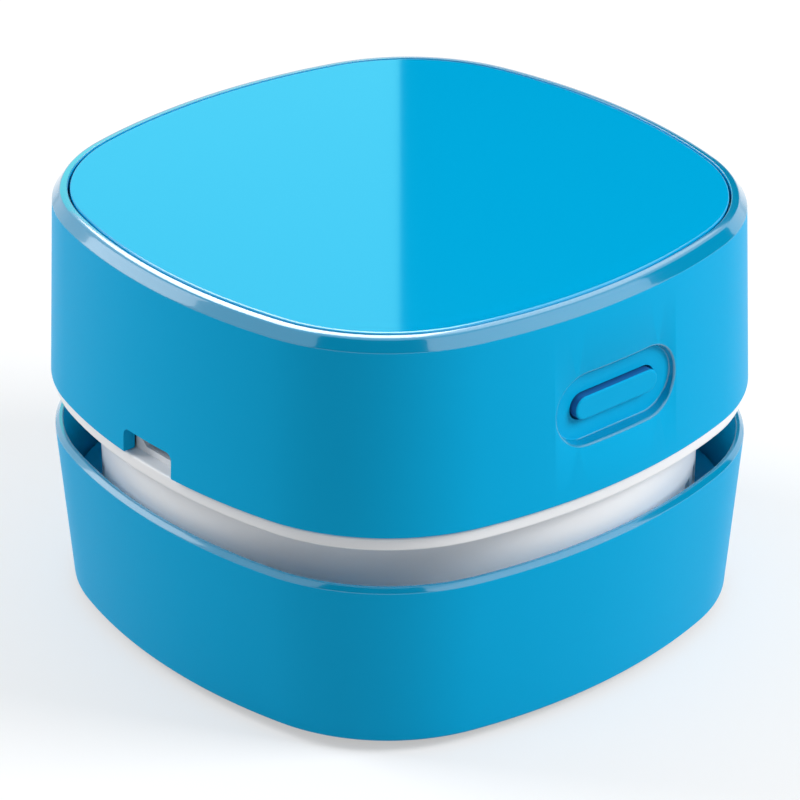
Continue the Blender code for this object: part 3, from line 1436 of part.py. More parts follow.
def add_leads(upper, red, dark):
    """The leads between the cell, the motor, the switch and the control board."""
    pad_x = BOARD_EDGE_X + CONTROL_BOARD_LENGTH / 2
    pad_z = BOARD_Z + BOARD_THICKNESS + CLEARANCE
    inner_x = BOARD_EDGE_X + CONTROL_BOARD_LENGTH
    above = END_CAP_TOP_Z + TERMINAL_HEIGHT + CLEARANCE
    over = above + LEAD_RISE
    first_pad = CHIP_HALF + LEAD_RISE
    cell_end = CELL_LENGTH / 2 + CLEARANCE
    notch_x = cell_end + LEAD_RADIUS
    outside_x = cell_end + HOLDER_WALL + 2 * LEAD_RADIUS
    beside_y = CELL_OFFSET - CELL_RADIUS - HOLDER_WALL - 2 * LEAD_RADIUS
    lean_y = CELL_OFFSET - CELL_RADIUS / 2
    switch_y = SWITCH_BOARD_Y + BOARD_THICKNESS + CLEARANCE
    routes = {
        "motor_lead_red": [
            (0, TERMINAL_OFFSET, above),
            (-CLAMP_HALF_WIDTH, TERMINAL_OFFSET, over),
            (inner_x, first_pad, over),
            (pad_x, first_pad, pad_z),
        ],
        "motor_lead_black": [
            (0, -TERMINAL_OFFSET, above),
            (-CLAMP_HALF_WIDTH, -TERMINAL_OFFSET, over),
            (inner_x, -first_pad, over),
            (pad_x, -first_pad, pad_z),
        ],
        "battery_lead_red": [
            (notch_x, CELL_OFFSET, CELL_Z),
            (outside_x, CELL_OFFSET, CELL_Z + LEAD_RISE / 2),
            (outside_x, lean_y, CELL_Z + 2 * LEAD_RISE),
            (CLAMP_POST_X, beside_y, over),
            (-CLAMP_POST_X, beside_y, over),
            (pad_x, first_pad + 2 * PAD_PITCH, over),
            (pad_x, first_pad + PAD_PITCH, pad_z),
        ],
        "battery_lead_black": [
            (-notch_x, CELL_OFFSET, CELL_Z),
            (-outside_x, CELL_OFFSET, CELL_Z + LEAD_RISE / 2),
            (-outside_x, lean_y, CELL_Z + 2 * LEAD_RISE),
            (pad_x, first_pad + 3 * PAD_PITCH, CELL_Z + LEAD_RISE),
            (pad_x, first_pad + 2 * PAD_PITCH, pad_z),
        ],
        "switch_lead_red": [
            (-SWITCH_HALF, switch_y, BUTTON_Z),
            (-SWITCH_HALF, switch_y + LEAD_RISE, BUTTON_Z + LEAD_RISE / 2),
            (-SWITCH_BOSS_SPREAD, switch_y + 2 * LEAD_RISE, BUTTON_Z + LEAD_RISE),
            (pad_x, -first_pad - 3 * PAD_PITCH, BUTTON_Z + LEAD_RISE),
            (pad_x, -first_pad - 2 * PAD_PITCH, pad_z),
        ],
        "switch_lead_black": [
            (PAD_PITCH - SWITCH_HALF, switch_y, BUTTON_Z),
            (-SWITCH_HALF, switch_y + 3 * LEAD_RISE, BUTTON_Z + LEAD_RISE),
            (pad_x, -first_pad - 2 * PAD_PITCH, BUTTON_Z + LEAD_RISE),
            (pad_x, -first_pad - PAD_PITCH, pad_z),
        ],
    }
    for name, points in routes.items():
        lead(name, points, red if name.endswith("red") else dark, upper)


main()
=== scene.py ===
# %% [markdown]
# A desktop mini vacuum cleaner: a blue rounded-square body in two halves.
# The lower half is a dust bin, and the upper half, with a white barrel that
# plugs into the bin, holds the motor, the fan, the cell and the button.
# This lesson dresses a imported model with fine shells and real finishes.
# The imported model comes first, because every fine piece is set on it.

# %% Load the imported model
import math

import bmesh
import bpy
from mathutils import Matrix, Vector


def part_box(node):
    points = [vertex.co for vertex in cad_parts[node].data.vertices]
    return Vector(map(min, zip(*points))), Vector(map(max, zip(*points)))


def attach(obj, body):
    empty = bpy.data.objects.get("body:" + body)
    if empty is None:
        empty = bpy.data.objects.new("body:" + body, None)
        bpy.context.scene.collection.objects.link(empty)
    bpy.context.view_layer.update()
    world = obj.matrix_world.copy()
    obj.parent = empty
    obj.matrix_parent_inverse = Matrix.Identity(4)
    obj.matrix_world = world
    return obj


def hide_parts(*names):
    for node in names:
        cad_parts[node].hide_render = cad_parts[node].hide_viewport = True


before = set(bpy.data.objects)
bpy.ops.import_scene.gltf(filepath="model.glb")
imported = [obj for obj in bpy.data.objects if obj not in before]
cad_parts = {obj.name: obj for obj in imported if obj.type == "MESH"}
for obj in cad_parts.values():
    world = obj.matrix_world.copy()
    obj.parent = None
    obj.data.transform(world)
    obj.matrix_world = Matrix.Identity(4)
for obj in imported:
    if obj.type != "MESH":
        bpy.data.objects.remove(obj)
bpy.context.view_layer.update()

# %% [markdown]
# The camera stands where the photograph was taken from: in front of one
# corner and about 28 degrees above the desk. It was fitted to the outlines
# of the photograph, so its numbers are real angles and distances, and a
# long lens gives the photograph's weak perspective.

# %% Camera
CAMERA_AZIMUTH = math.radians(-41.1)
CAMERA_ELEVATION = math.radians(27.83)
CAMERA_DISTANCE = 0.4888
CAMERA_LENS_MM = 163.9
AIM_HEIGHT = 0.027
AIM_SIDEWAYS = 0.00017

back = Vector(
    (
        math.sin(CAMERA_AZIMUTH) * math.cos(CAMERA_ELEVATION),
        -math.cos(CAMERA_AZIMUTH) * math.cos(CAMERA_ELEVATION),
        math.sin(CAMERA_ELEVATION),
    )
)
sideways = Vector((math.cos(CAMERA_AZIMUTH), math.sin(CAMERA_AZIMUTH), 0))
aim = Vector((0, 0, AIM_HEIGHT)) + sideways * AIM_SIDEWAYS
camera = bpy.data.objects.new("camera", bpy.data.cameras.new("camera"))
camera.data.lens = CAMERA_LENS_MM
camera.data.clip_start = 0.01
camera.location = aim + back * CAMERA_DISTANCE
camera.rotation_euler = (-back).to_track_quat("-Z", "Y").to_euler()
bpy.context.scene.collection.objects.link(camera)
bpy.context.scene.camera = camera
bpy.context.scene.view_settings.view_transform = "Standard"
print("camera", [round(c, 4) for c in camera.location])

# %% [markdown]
# A material is a small graph of nodes. One helper adds a node, sets its
# properties and its sockets, and links what is linked. Every finish below
# is built from it. Colours are written as sRGB hex, as a colour picker
# shows them, and one function turns them into the linear light that the
# renderer works in.


# %% Colour and node helpers
def linear(hex_colour):
    """An sRGB hex colour as linear RGBA."""
    channels = [int(hex_colour[i : i + 2], 16) / 255 for i in (0, 2, 4)]
    return (*[c / 12.92 if c <= 0.04045 else ((c + 0.055) / 1.055) ** 2.4 for c in channels], 1.0)


def add(tree, kind, settings=None, **sockets):
    """Adds a node: settings are its properties, sockets are values, sockets or nodes to link."""
    node = tree.nodes.new(kind)
    for name, value in (settings or {}).items():
        setattr(node, name, value)
    for name, value in sockets.items():
        key = int(name[1:]) if name[0] == "n" and name[1:].isdigit() else name.replace("_", " ")
        socket = node.inputs[key]
        if isinstance(value, bpy.types.Node):
            value = value.outputs[0]
        if isinstance(value, bpy.types.NodeSocket):
            tree.links.new(value, socket)
        else:
            socket.default_value = value
    return node


def maths(tree, operation, first, second):
    """A node that works out one sum."""
    return add(tree, "ShaderNodeMath", {"operation": operation}, n0=first, n1=second)


def blank_material(name):
    """A material with only its output node."""
    made = bpy.data.materials.new(name)
    made.use_nodes = True
    made.node_tree.nodes.clear()
    return made, made.node_tree


def finish_material(tree, shader):
    """Links a shader to the material's output."""
    add(tree, "ShaderNodeOutputMaterial", Surface=shader)


# %% [markdown]
# The floor is a pale desk, and the walls of the studio are a plain white
# world. The camera, and what mirrors them, see both as clean white, while
# the light that they send to the object is a softer level, so that the
# side that faces the camera falls off to a deep blue, as photographed.

# %% Floor and world
FLOOR_HALF = 4.0
FLOOR_PAINT = "BEBEBE"
FLOOR_GLOW = 0.45
WORLD_LIGHT = 0.5
SEEN_RAYS = ("Is Camera Ray", "Is Glossy Ray", "Is Transmission Ray")


def seen_directly(tree, low, high):
    """A value that is high where the camera, a mirror or glass looks, and low for other light."""
    path = add(tree, "ShaderNodeLightPath")
    seen = path.outputs[SEEN_RAYS[0]]
    for name in SEEN_RAYS[1:]:
        seen = maths(tree, "MAXIMUM", seen, path.outputs[name])
    return add(tree, "ShaderNodeMapRange", Value=seen, To_Min=low, To_Max=high)


floor_mesh = bpy.data.meshes.new("desk")
corners = [(x * FLOOR_HALF, y * FLOOR_HALF, 0) for x, y in ((-1, -1), (1, -1), (1, 1), (-1, 1))]
floor_mesh.from_pydata(corners, [], [(0, 1, 2, 3)])
desk = bpy.data.objects.new("desk", floor_mesh)
bpy.context.scene.collection.objects.link(desk)
paint, tree = blank_material("matt_pale_desk_paint")
matt = add(tree, "ShaderNodeBsdfDiffuse", Color=linear(FLOOR_PAINT))
glow = add(tree, "ShaderNodeEmission", Color=(1, 1, 1, 1), Strength=seen_directly(tree, 0.0, FLOOR_GLOW))
finish_material(tree, add(tree, "ShaderNodeAddShader", n0=matt, n1=glow))
desk.data.materials.append(paint)

world = bpy.data.worlds.new("white_studio")
bpy.context.scene.world = world
world.use_nodes = True
world.node_tree.nodes.clear()
tree = world.node_tree
level = seen_directly(tree, WORLD_LIGHT, 1.0)
light = add(tree, "ShaderNodeBackground", Color=(1, 1, 1, 1), Strength=level)
add(tree, "ShaderNodeOutputWorld", Surface=light)
print("world light", WORLD_LIGHT)

# %% [markdown]
# Two soft boxes light the object. The key stands on the button's side, and
# the fill is on the port's side and behind, so the corner between them
# stays the darkest part. Nothing mirrors the lamps themselves.

# %% Lamps
LAMP_DISTANCE = 1.04
LAMP_SIZE = 0.42


def toward(azimuth, elevation, distance):
    """A place at an azimuth and an elevation, in degrees, as seen from the object's middle."""
    a, e = math.radians(azimuth), math.radians(elevation)
    return aim + Vector((math.cos(e) * math.cos(a), math.cos(e) * math.sin(a), math.sin(e))) * distance


def soft_box(name, azimuth, elevation, watts):
    """A square lamp that looks at the object's middle."""
    lamp = bpy.data.lights.new(name, "AREA")
    lamp.size = LAMP_SIZE
    lamp.energy = watts
    box = bpy.data.objects.new(name, lamp)
    box.location = toward(azimuth, elevation, LAMP_DISTANCE)
    box.rotation_euler = (aim - box.location).to_track_quat("-Z", "Y").to_euler()
    box.visible_glossy = False
    bpy.context.scene.collection.objects.link(box)


LAMPS = (("key_box", -50, 35, 8.0), ("fill_box", 120, 30, 6.3))
for lamp_row in LAMPS:
    soft_box(*lamp_row)

# %% [markdown]
# Glossy plastic shows its studio. Round the object stand cards that only
# its shine can see: white ones, which draw the pale bands along the bevels,
# and black flags, which let the bevel sink into the colour of the wall. The
# edge between a tinted card and a black one, straight behind the object,
# makes the line that splits the polished cover in the photograph.

# %% Cards for the shine
CARD_DISTANCE = 1.2
CARD_STEP = 3.0


def gloss_card(name, azimuths, elevations, strength, colour):
    """A patch of a sphere round the object that only mirroring surfaces see."""
    columns = 1 + math.ceil((azimuths[1] - azimuths[0]) / CARD_STEP)
    rows = 1 + math.ceil((elevations[1] - elevations[0]) / CARD_STEP)
    points, faces = [], []
    for i in range(rows):
        elevation = elevations[0] + (elevations[1] - elevations[0]) * i / (rows - 1)
        for j in range(columns):
            azimuth = azimuths[0] + (azimuths[1] - azimuths[0]) * j / (columns - 1)
            points.append(toward(azimuth, elevation, CARD_DISTANCE))
            if i and j:
                k = i * columns + j
                faces.append((k - columns - 1, k - columns, k, k - 1))
    mesh = bpy.data.meshes.new(name)
    mesh.from_pydata(points, [], faces)
    card = bpy.data.objects.new(name, mesh)
    bpy.context.scene.collection.objects.link(card)
    paper, tree = blank_material(name + "_paper")
    finish_material(tree, add(tree, "ShaderNodeEmission", Color=(*colour, 1), Strength=strength))
    mesh.materials.append(paper)
    for ray in ("camera", "diffuse", "transmission", "shadow", "volume_scatter"):
        setattr(card, "visible_" + ray, False)


WHITE, TINT = (1, 1, 1), (0.3, 1.0, 0.9)
CARDS = (
    ("black_flag_front", (183, 255), (30, 62), 0.0, WHITE),
    ("white_card_left", (112, 139), (10, 37), 3.0, WHITE),
    ("white_card_right", (-105, -36), (15, 55), 1.7, WHITE),
    ("black_flag_right", (-36, -8), (5, 36), 0.0, WHITE),
    ("black_flag_behind", (15, 48.9), (15, 31), 0.0, WHITE),
    ("tinted_card_behind", (48.9, 80), (15, 30), 1.7, TINT),
    ("white_strip_behind", (45.5, 65), (31, 46), 6.5, WHITE),
    ("grey_strip_behind", (33, 45.5), (31, 46), 2.0, WHITE),
)
for card_row in CARDS:
    gloss_card(*card_row)
print("cards", len(CARDS))

# %% [markdown]
# Moulded ABS is the plastic of nearly every small appliance. A fine spark
# texture in the mould breaks its shine into a satin, its colour drifts a
# little with the wall's thickness, and the real grain of about 0.15 mm is
# drawn at 0.25 mm so that a close view shows it. The same plastic is shiny
# where the mould was polished, as on the bevels and the cover.


# %% Moulded plastics
CLOUD_SCALE = 35.0
COAT_ROUGHNESS = 0.03


def moulded(
    name, hex_colour, roughness, grain=0.00025, bump=0.05, drift=0.03, specular=0.5, ior=1.54, coat=0.0
):
    """A moulded plastic with grain, a slight drift of colour and uneven shine."""
    made, tree = blank_material(name)
    where = add(tree, "ShaderNodeTexCoord").outputs["Object"]
    cloud = add(tree, "ShaderNodeTexNoise", Vector=where, Scale=CLOUD_SCALE, Detail=2.0)
    pale = [min(1.0, c * (1 + drift)) for c in linear(hex_colour)[:3]]
    deep = [c * (1 - drift) for c in linear(hex_colour)[:3]]
    colour = add(tree, "ShaderNodeMix", {"data_type": "RGBA"}, n0=cloud, n6=(*deep, 1), n7=(*pale, 1))
    speck = add(tree, "ShaderNodeTexNoise", Vector=where, Scale=1 / grain, Detail=1.0)
    shine = add(tree, "ShaderNodeMapRange", Value=speck, To_Min=roughness * 0.9, To_Max=roughness * 1.1)
    relief = add(tree, "ShaderNodeBump", Height=speck, Strength=bump, Distance=grain / 4)
    shader = add(
        tree,
        "ShaderNodeBsdfPrincipled",
        Base_Color=colour.outputs[2],
        Roughness=shine,
        Normal=relief,
        IOR=ior,
        Specular_IOR_Level=specular,
        Coat_Weight=coat,
        Coat_Roughness=COAT_ROUGHNESS,
    )
    finish_material(tree, shader)
    return made


blue_abs = moulded("moulded_blue_abs", "00A8DC", 0.42, specular=0.06)
polished_blue = moulded("polished_blue_abs", "008FBC", 0.12, bump=0.0, drift=0.0, specular=0.5, coat=1.0)
# A deep navy for the power button's sides: painted shade, darker than the blue of the same plastic.
button_side_painted_shade = moulded("deep_blue_button_skirt", "1F5F9E", 0.3, bump=0.0)
cover_blue = moulded("mirror_blue_abs", "00A8DC", 0.04, bump=0.0, drift=0.01, specular=0.5)
white_abs = moulded("moulded_white_abs", "F0F1F3", 0.38, specular=0.4)
grey_abs = moulded("moulded_grey_abs", "5C6166", 0.5, bump=0.12)
black_nylon = moulded("moulded_black_nylon", "1E2022", 0.55, bump=0.1, ior=1.53)
glide_rubber = moulded("grey_glide_rubber", "3A3D40", 0.75, grain=0.0004, bump=0.2, ior=1.52)
mask_green = moulded("green_solder_mask", "1F6B45", 0.3, grain=0.0008, bump=0.25, drift=0.12, ior=1.5)
sleeve_blue = moulded("heat_shrunk_cell_sleeve", "3B6FB5", 0.25, grain=0.002, bump=0.15)
red_pvc = moulded("red_pvc_insulation", "C2272D", 0.4, ior=1.53)
black_pvc = moulded("black_pvc_insulation", "17181A", 0.4, ior=1.53)

# %% [markdown]
# The metals are zinc-plated steel, for the screws, the strap, the can and
# the port's shell, and brass, for the motor's terminals. Rolling and
# plating leave fine streaks, so a stretched noise drives their shine.


# %% Metals
def rolled(name, hex_colour, roughness, streak):
    """A rolled or plated metal with fine streaks in its shine."""
    made, tree = blank_material(name)
    where = add(tree, "ShaderNodeTexCoord").outputs["Object"]
    run = add(tree, "ShaderNodeMapping", Vector=where, Scale=(1 / streak, 0.1 / streak, 1 / streak))
    lines = add(tree, "ShaderNodeTexNoise", Vector=run, Scale=1.0, Detail=3.0)
    shine = add(tree, "ShaderNodeMapRange", Value=lines, To_Min=roughness * 0.7, To_Max=roughness * 1.3)
    relief = add(tree, "ShaderNodeBump", Height=lines, Strength=0.1, Distance=streak / 8)
    shader = add(
        tree,
        "ShaderNodeBsdfPrincipled",
        Base_Color=linear(hex_colour),
        Metallic=1.0,
        Roughness=shine,
        Normal=relief,
    )
    finish_material(tree, shader)
    return made


plated_steel = rolled("zinc_plated_steel", "C4C8CC", 0.28, 0.0004)
brass = rolled("rolled_brass", "C9A54B", 0.3, 0.0004)

# %% [markdown]
# The filter is needled polyester felt: a matt, off-white mat of fibres.
# Its fibres are about 0.02 mm thick, far too fine to show, so they are
# drawn as 0.3 mm tangles with a soft sheen.

# %% Filter felt
FELT_TANGLE = 0.0003

felt, tree = blank_material("needled_filter_felt")
where = add(tree, "ShaderNodeTexCoord").outputs["Object"]
tangle = add(tree, "ShaderNodeTexNoise", Vector=where, Scale=1 / FELT_TANGLE, Detail=4.0, Distortion=1.5)
dark, pale = linear("BFC3C6"), linear("EDEFF0")
tone = add(tree, "ShaderNodeMix", {"data_type": "RGBA"}, n0=tangle, n6=dark, n7=pale)
relief = add(tree, "ShaderNodeBump", Height=tangle, Strength=0.7, Distance=FELT_TANGLE)
shader = add(
    tree,
    "ShaderNodeBsdfPrincipled",
    Base_Color=tone.outputs[2],
    Roughness=0.95,
    Normal=relief,
    Sheen_Weight=0.3,
)
finish_material(tree, shader)
print("materials", len(bpy.data.materials))

# %% [markdown]
# Seen from above, the body is a rounded square: four bulged sides, each an
# arc, and four corner arcs that run on from them smoothly. Every shell is
# a cross-section swept round that outline, so one Geometry Nodes tree
# sweeps them all. Its inputs are the outline's radii, and the object it
# sits on holds the cross-section, as distance drawn in and height.

# %% The outline's sizes
upper_low, upper_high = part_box("upper_housing")
BODY_HALF = upper_high.x
SIDE_RADIUS = 0.0813
CORNER_RADIUS = 0.0265
SIDE_BEYOND = SIDE_RADIUS - BODY_HALF
ARC_OFFSET = SIDE_RADIUS - CORNER_RADIUS
CORNER_CENTRE = (math.sqrt(2 * ARC_OFFSET**2 - SIDE_BEYOND**2) - SIDE_BEYOND) / 2
SIDE_TURN = math.atan2(CORNER_CENTRE, CORNER_CENTRE + SIDE_BEYOND)
SIDE_POINTS = 25
CORNER_POINTS = 25
print("half width", round(BODY_HALF, 5), "corner centre", round(CORNER_CENTRE, 5))


# %% The sweeping tree
def sockets_of(tree, *inputs):
    """Gives a node group a geometry in, a geometry out and named inputs with defaults."""
    tree.interface.new_socket("Geometry", in_out="INPUT", socket_type="NodeSocketGeometry")
    for name, kind, value in inputs:
        socket = tree.interface.new_socket(name, in_out="INPUT", socket_type=kind)
        if value is not None:
            socket.default_value = value
    tree.interface.new_socket("Geometry", in_out="OUTPUT", socket_type="NodeSocketGeometry")
    return tree.nodes.new("NodeGroupInput").outputs


def new_tree(name):
    """An empty Geometry Nodes group."""
    return bpy.data.node_groups.new(name, "GeometryNodeTree")


def end_tree(tree, geometry, material):
    """Ends a tree: its copies become real, get their material and leave the group."""
    real = add(tree, "GeometryNodeRealizeInstances", Geometry=geometry)
    real = add(tree, "GeometryNodeSetMaterial", Geometry=real, Material=material)
    add(tree, "NodeGroupOutput", n0=real)


sweep_tree = new_tree("sweep_round_square")
given = sockets_of(
    sweep_tree,
    ("Side Radius", "NodeSocketFloat", SIDE_RADIUS),
    ("Corner Radius", "NodeSocketFloat", CORNER_RADIUS),
    ("Side Beyond", "NodeSocketFloat", SIDE_BEYOND),
    ("Corner Centre", "NodeSocketFloat", CORNER_CENTRE),
    ("Side Turn", "NodeSocketFloat", SIDE_TURN),
    ("Side Points", "NodeSocketInt", SIDE_POINTS),
    ("Corner Points", "NodeSocketInt", CORNER_POINTS),
    ("Material", "NodeSocketMaterial", None),
)
start = maths(sweep_tree, "MULTIPLY", given["Side Turn"], -1.0)
sweep = maths(sweep_tree, "MULTIPLY", given["Side Turn"], 2.0)
side = add(
    sweep_tree,
    "GeometryNodeCurveArc",
    {"mode": "RADIUS"},
    Resolution=given["Side Points"],
    Radius=given["Side Radius"],
    Start_Angle=start,
    Sweep_Angle=sweep,
)
away = maths(sweep_tree, "MULTIPLY", given["Side Beyond"], -1.0)
shift = add(sweep_tree, "ShaderNodeCombineXYZ", X=away)
side = add(sweep_tree, "GeometryNodeTransform", Geometry=side, Translation=shift)
rest = maths(sweep_tree, "SUBTRACT", math.pi / 2, sweep)
corner = add(
    sweep_tree,
    "GeometryNodeCurveArc",
    {"mode": "RADIUS"},
    Resolution=given["Corner Points"],
    Radius=given["Corner Radius"],
    Start_Angle=given["Side Turn"],
    Sweep_Angle=rest,
)
shift = add(sweep_tree, "ShaderNodeCombineXYZ", X=given["Corner Centre"], Y=given["Corner Centre"])
corner = add(sweep_tree, "GeometryNodeTransform", Geometry=corner, Translation=shift)
quarter = add(sweep_tree, "GeometryNodeJoinGeometry")
for arc in (side, corner):
    sweep_tree.links.new(arc.outputs[0], quarter.inputs[0])
quarter = add(sweep_tree, "GeometryNodeCurveToMesh", Curve=quarter)
turns = add(sweep_tree, "GeometryNodePoints", Count=4)
index = add(sweep_tree, "GeometryNodeInputIndex")
angle = maths(sweep_tree, "MULTIPLY", index, math.pi / 2)
turn = add(sweep_tree, "ShaderNodeCombineXYZ", Z=angle)
ring = add(sweep_tree, "GeometryNodeInstanceOnPoints", Points=turns, Instance=quarter, Rotation=turn)
ring = add(sweep_tree, "GeometryNodeRealizeInstances", Geometry=ring)
ring = add(sweep_tree, "GeometryNodeMergeByDistance", Geometry=ring, Distance=1e-5)
ring = add(sweep_tree, "GeometryNodeMeshToCurve", Mesh=ring)
ring = add(sweep_tree, "GeometryNodeSetCurveNormal", {"mode": "Z_UP"}, Curve=ring)
section = add(sweep_tree, "GeometryNodeMeshToCurve", Mesh=given["Geometry"])
shell = add(sweep_tree, "GeometryNodeCurveToMesh", Curve=ring, Profile_Curve=section)
end_tree(sweep_tree, shell, given["Material"])
print("sweeping tree", len(sweep_tree.nodes), "nodes")


# %% [markdown]
# A moulded edge is never a knife edge: each corner of a cross-section gets
# a small radius, worked out as an arc between the two straight runs. A
# point is also set a short way along each long run, so that smooth shading
# stays flat where the wall is flat.


# %% Rounded cross-sections
ARC_STEPS = 5
GUARD = 0.0003
HAIR_EDGE = 0.0001
FINE_EDGE = 0.0002
SOFT_EDGE = 0.0003
INWARD = 0.004


def quarter_turn(steps=ARC_STEPS):
    """The steps of a quarter turn, as pairs of one less the sine and one less the cosine."""
    angles = [math.pi / 2 * i / steps for i in range(steps + 1)]
    return [(1 - math.sin(a), 1 - math.cos(a)) for a in angles]


def rounded(corners, loop=False):
    """Turns (inset, height, radius) corners into (inset, height) points, with arcs and guard points."""
    count = len(corners)
    points = []
    for i, (x, z, radius) in enumerate(corners):
        here = Vector((x, z))
        if not loop and i in (0, count - 1):
            points.append(here)
            continue
        before = Vector(corners[i - 1][:2]) - here
        after = Vector(corners[(i + 1) % count][:2]) - here
        half = before.angle(after) / 2
        if radius <= 0:
            points.append(here)
            continue
        reach = min(radius / math.tan(half), before.length * 0.45, after.length * 0.45)
        radius = reach * math.tan(half)
        centre = here + (before.normalized() + after.normalized()).normalized() * radius / math.sin(half)
        first = here + before.normalized() * reach - centre
        last = here + after.normalized() * reach - centre
        if before.length > 4 * GUARD + reach:
            points.append(here + before.normalized() * (reach + GUARD))
        whole = first.angle_signed(last)
        for k in range(ARC_STEPS + 1):
            points.append(centre + Matrix.Rotation(-whole * k / ARC_STEPS, 2) @ first)
        if after.length > 4 * GUARD + reach:
            points.append(here + after.normalized() * (reach + GUARD))
    return points


def set_inputs(modifier, **values):
    """Sets a Geometry Nodes modifier's inputs by the identifiers of their sockets."""
    for item in modifier.node_group.interface.items_tree:
        if item.item_type == "SOCKET" and item.in_out == "INPUT":
            key = item.name.replace(" ", "_").lower()
            if key in values:
                modifier[item.identifier] = values[key]


def frozen(holder, name, material=None):
    """The evaluated mesh of a helper object, as a plain object; the helper is removed."""
    scene = bpy.context.scene
    if holder.name not in scene.collection.objects:
        scene.collection.objects.link(holder)
    graph = bpy.context.evaluated_depsgraph_get()
    mesh = bpy.data.meshes.new_from_object(holder.evaluated_get(graph))
    bpy.data.objects.remove(holder)
    made = bpy.data.objects.new(name, mesh)
    mesh.name = name
    scene.collection.objects.link(made)
    if material:
        mesh.materials.clear()
        mesh.materials.append(material)
    return made


def swept(name, points, material, loop=False):
    """A shell swept round the outline from (inset, height) points; open ends are capped flat."""
    mesh = bpy.data.meshes.new("section")
    edges = [(i, i + 1) for i in range(len(points) - 1)] + ([(len(points) - 1, 0)] if loop else [])
    mesh.from_pydata([(-point[0], -point[1], 0) for point in points], edges, [])
    holder = bpy.data.objects.new("section", mesh)
    modifier = holder.modifiers.new("sweep", "NODES")
    modifier.node_group = sweep_tree
    set_inputs(modifier, material=material)
    made = frozen(holder, name, material)
    shape = bmesh.new()
    shape.from_mesh(made.data)
    bmesh.ops.remove_doubles(shape, verts=shape.verts, dist=1e-6)
    if not loop:
        bmesh.ops.holes_fill(shape, edges=[e for e in shape.edges if e.is_boundary], sides=0)
    bmesh.ops.recalc_face_normals(shape, faces=shape.faces)
    shape.to_mesh(made.data)
    shape.free()
    return made


def plate(name, inset, near, far, near_edge, far_edge, material):
    """A flat moulding round the outline, between two heights, with rounded edges."""
    inner = inset + INWARD
    corners = [(inner, near, 0), (inset, near, near_edge), (inset, far, far_edge), (inner, far, 0)]
    return swept(name, rounded(corners), material)


# %% [markdown]
# Holes and pockets are cut with exact booleans, the way a milled mould
# would leave them. A cut's own rounded lip is part of the cutter.


# %% Cutting and joining
def combined(target, tools, operation):
    """Cuts tools from the target or joins them to it, then removes the tools."""
    for tool in tools:
        modifier = target.modifiers.new("combine", "BOOLEAN")
        modifier.operation = operation
        modifier.solver = "EXACT"
        modifier.object = tool
    name, materials = target.name, list(target.data.materials)
    target.name = "being_cut"
    made = frozen(target, name)
    for tool in tools:
        bpy.data.objects.remove(tool)
    made.data.materials.clear()
    for material in materials:
        made.data.materials.append(material)
    return made


def loft(name, rings, material=None, loop=False):
    """A closed solid through rings of equal count, capped at both ends unless it loops."""
    shape = bmesh.new()
    made = [[shape.verts.new(point) for point in ring] for ring in rings]
    pairs = list(zip(made, made[1:]))
    if loop:
        pairs.append((made[-1], made[0]))
    else:
        shape.faces.new(made[0])
        shape.faces.new(made[-1])
    for near, far in pairs:
        for i in range(len(near)):
            j = (i + 1) % len(near)
            shape.faces.new((near[i], near[j], far[j], far[i]))
    bmesh.ops.recalc_face_normals(shape, faces=shape.faces)
    mesh = bpy.data.meshes.new(name)
    shape.to_mesh(mesh)
    shape.free()
    piece = bpy.data.objects.new(name, mesh)
    bpy.context.scene.collection.objects.link(piece)
    if material:
        mesh.materials.append(material)
    return piece


def circle(radius, height, sides=64, x=0.0, y=0.0):
    """A ring of points round an upright axis."""
    angles = [2 * math.pi * i / sides for i in range(sides)]
    return [Vector((x + radius * math.cos(a), y + radius * math.sin(a), height)) for a in angles]


def turned(name, profile, material=None, sides=64, loop=False, x=0.0, y=0.0):
    """A solid turned round an upright axis from (radius, height) pairs."""
    return loft(name, [circle(radius, height, sides, x, y) for radius, height in profile], material, loop)


def box(name, x0, x1, y0, y1, z0, z1, material=None):
    """A plain box, used as a cutter or a rib."""
    rings = [[Vector(p) for p in ((x0, y0, z), (x1, y0, z), (x1, y1, z), (x0, y1, z))] for z in (z0, z1)]
    return loft(name, rings, material)


def spun(piece, degrees):
    """Turns a piece's mesh round the upright axis."""
    piece.data.transform(Matrix.Rotation(math.radians(degrees), 4, "Z"))
    return piece


SHARP = math.radians(32)


def dressed(piece, body, *nodes, slot=None):
    """Shades a finished piece, sets it on its body and lets it stand for its nodes."""
    piece.data.shade_smooth()
    piece.data.set_sharp_from_angle(angle=SHARP)
    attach(piece, body)
    if nodes:
        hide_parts(*nodes)
    print(piece.name, len(piece.data.polygons), "faces")
    return piece


# %% [markdown]
# The upper shell is one moulding: a wall that leans in a little so that it
# leaves the mould, a polished bevel round its top, a narrow land and the
# pocket that the cover drops into. The wall's underside closes on the
# white flange. Its cross-section runs from the pocket's floor, over the
# bevel and down the wall, to the ceiling inside.

# %% Upper shell, swept
SHELL_BOTTOM = upper_low.z
TOP = upper_high.z
BEVEL_HEIGHT = 0.0015
SHOULDER = TOP - BEVEL_HEIGHT
TAPER = 0.0012
BEVEL_WIDTH = 0.0011
LAND = 0.001
LAND_FALL = 0.00014
CREST_EDGE = 0.00012
BEVEL_EDGE = 0.0004
HEM_EDGE = 0.00015
WALL = 0.0018
POCKET_DEPTH = 0.0018
CEILING = 0.0033
POCKET_INSET = TAPER + BEVEL_WIDTH + LAND

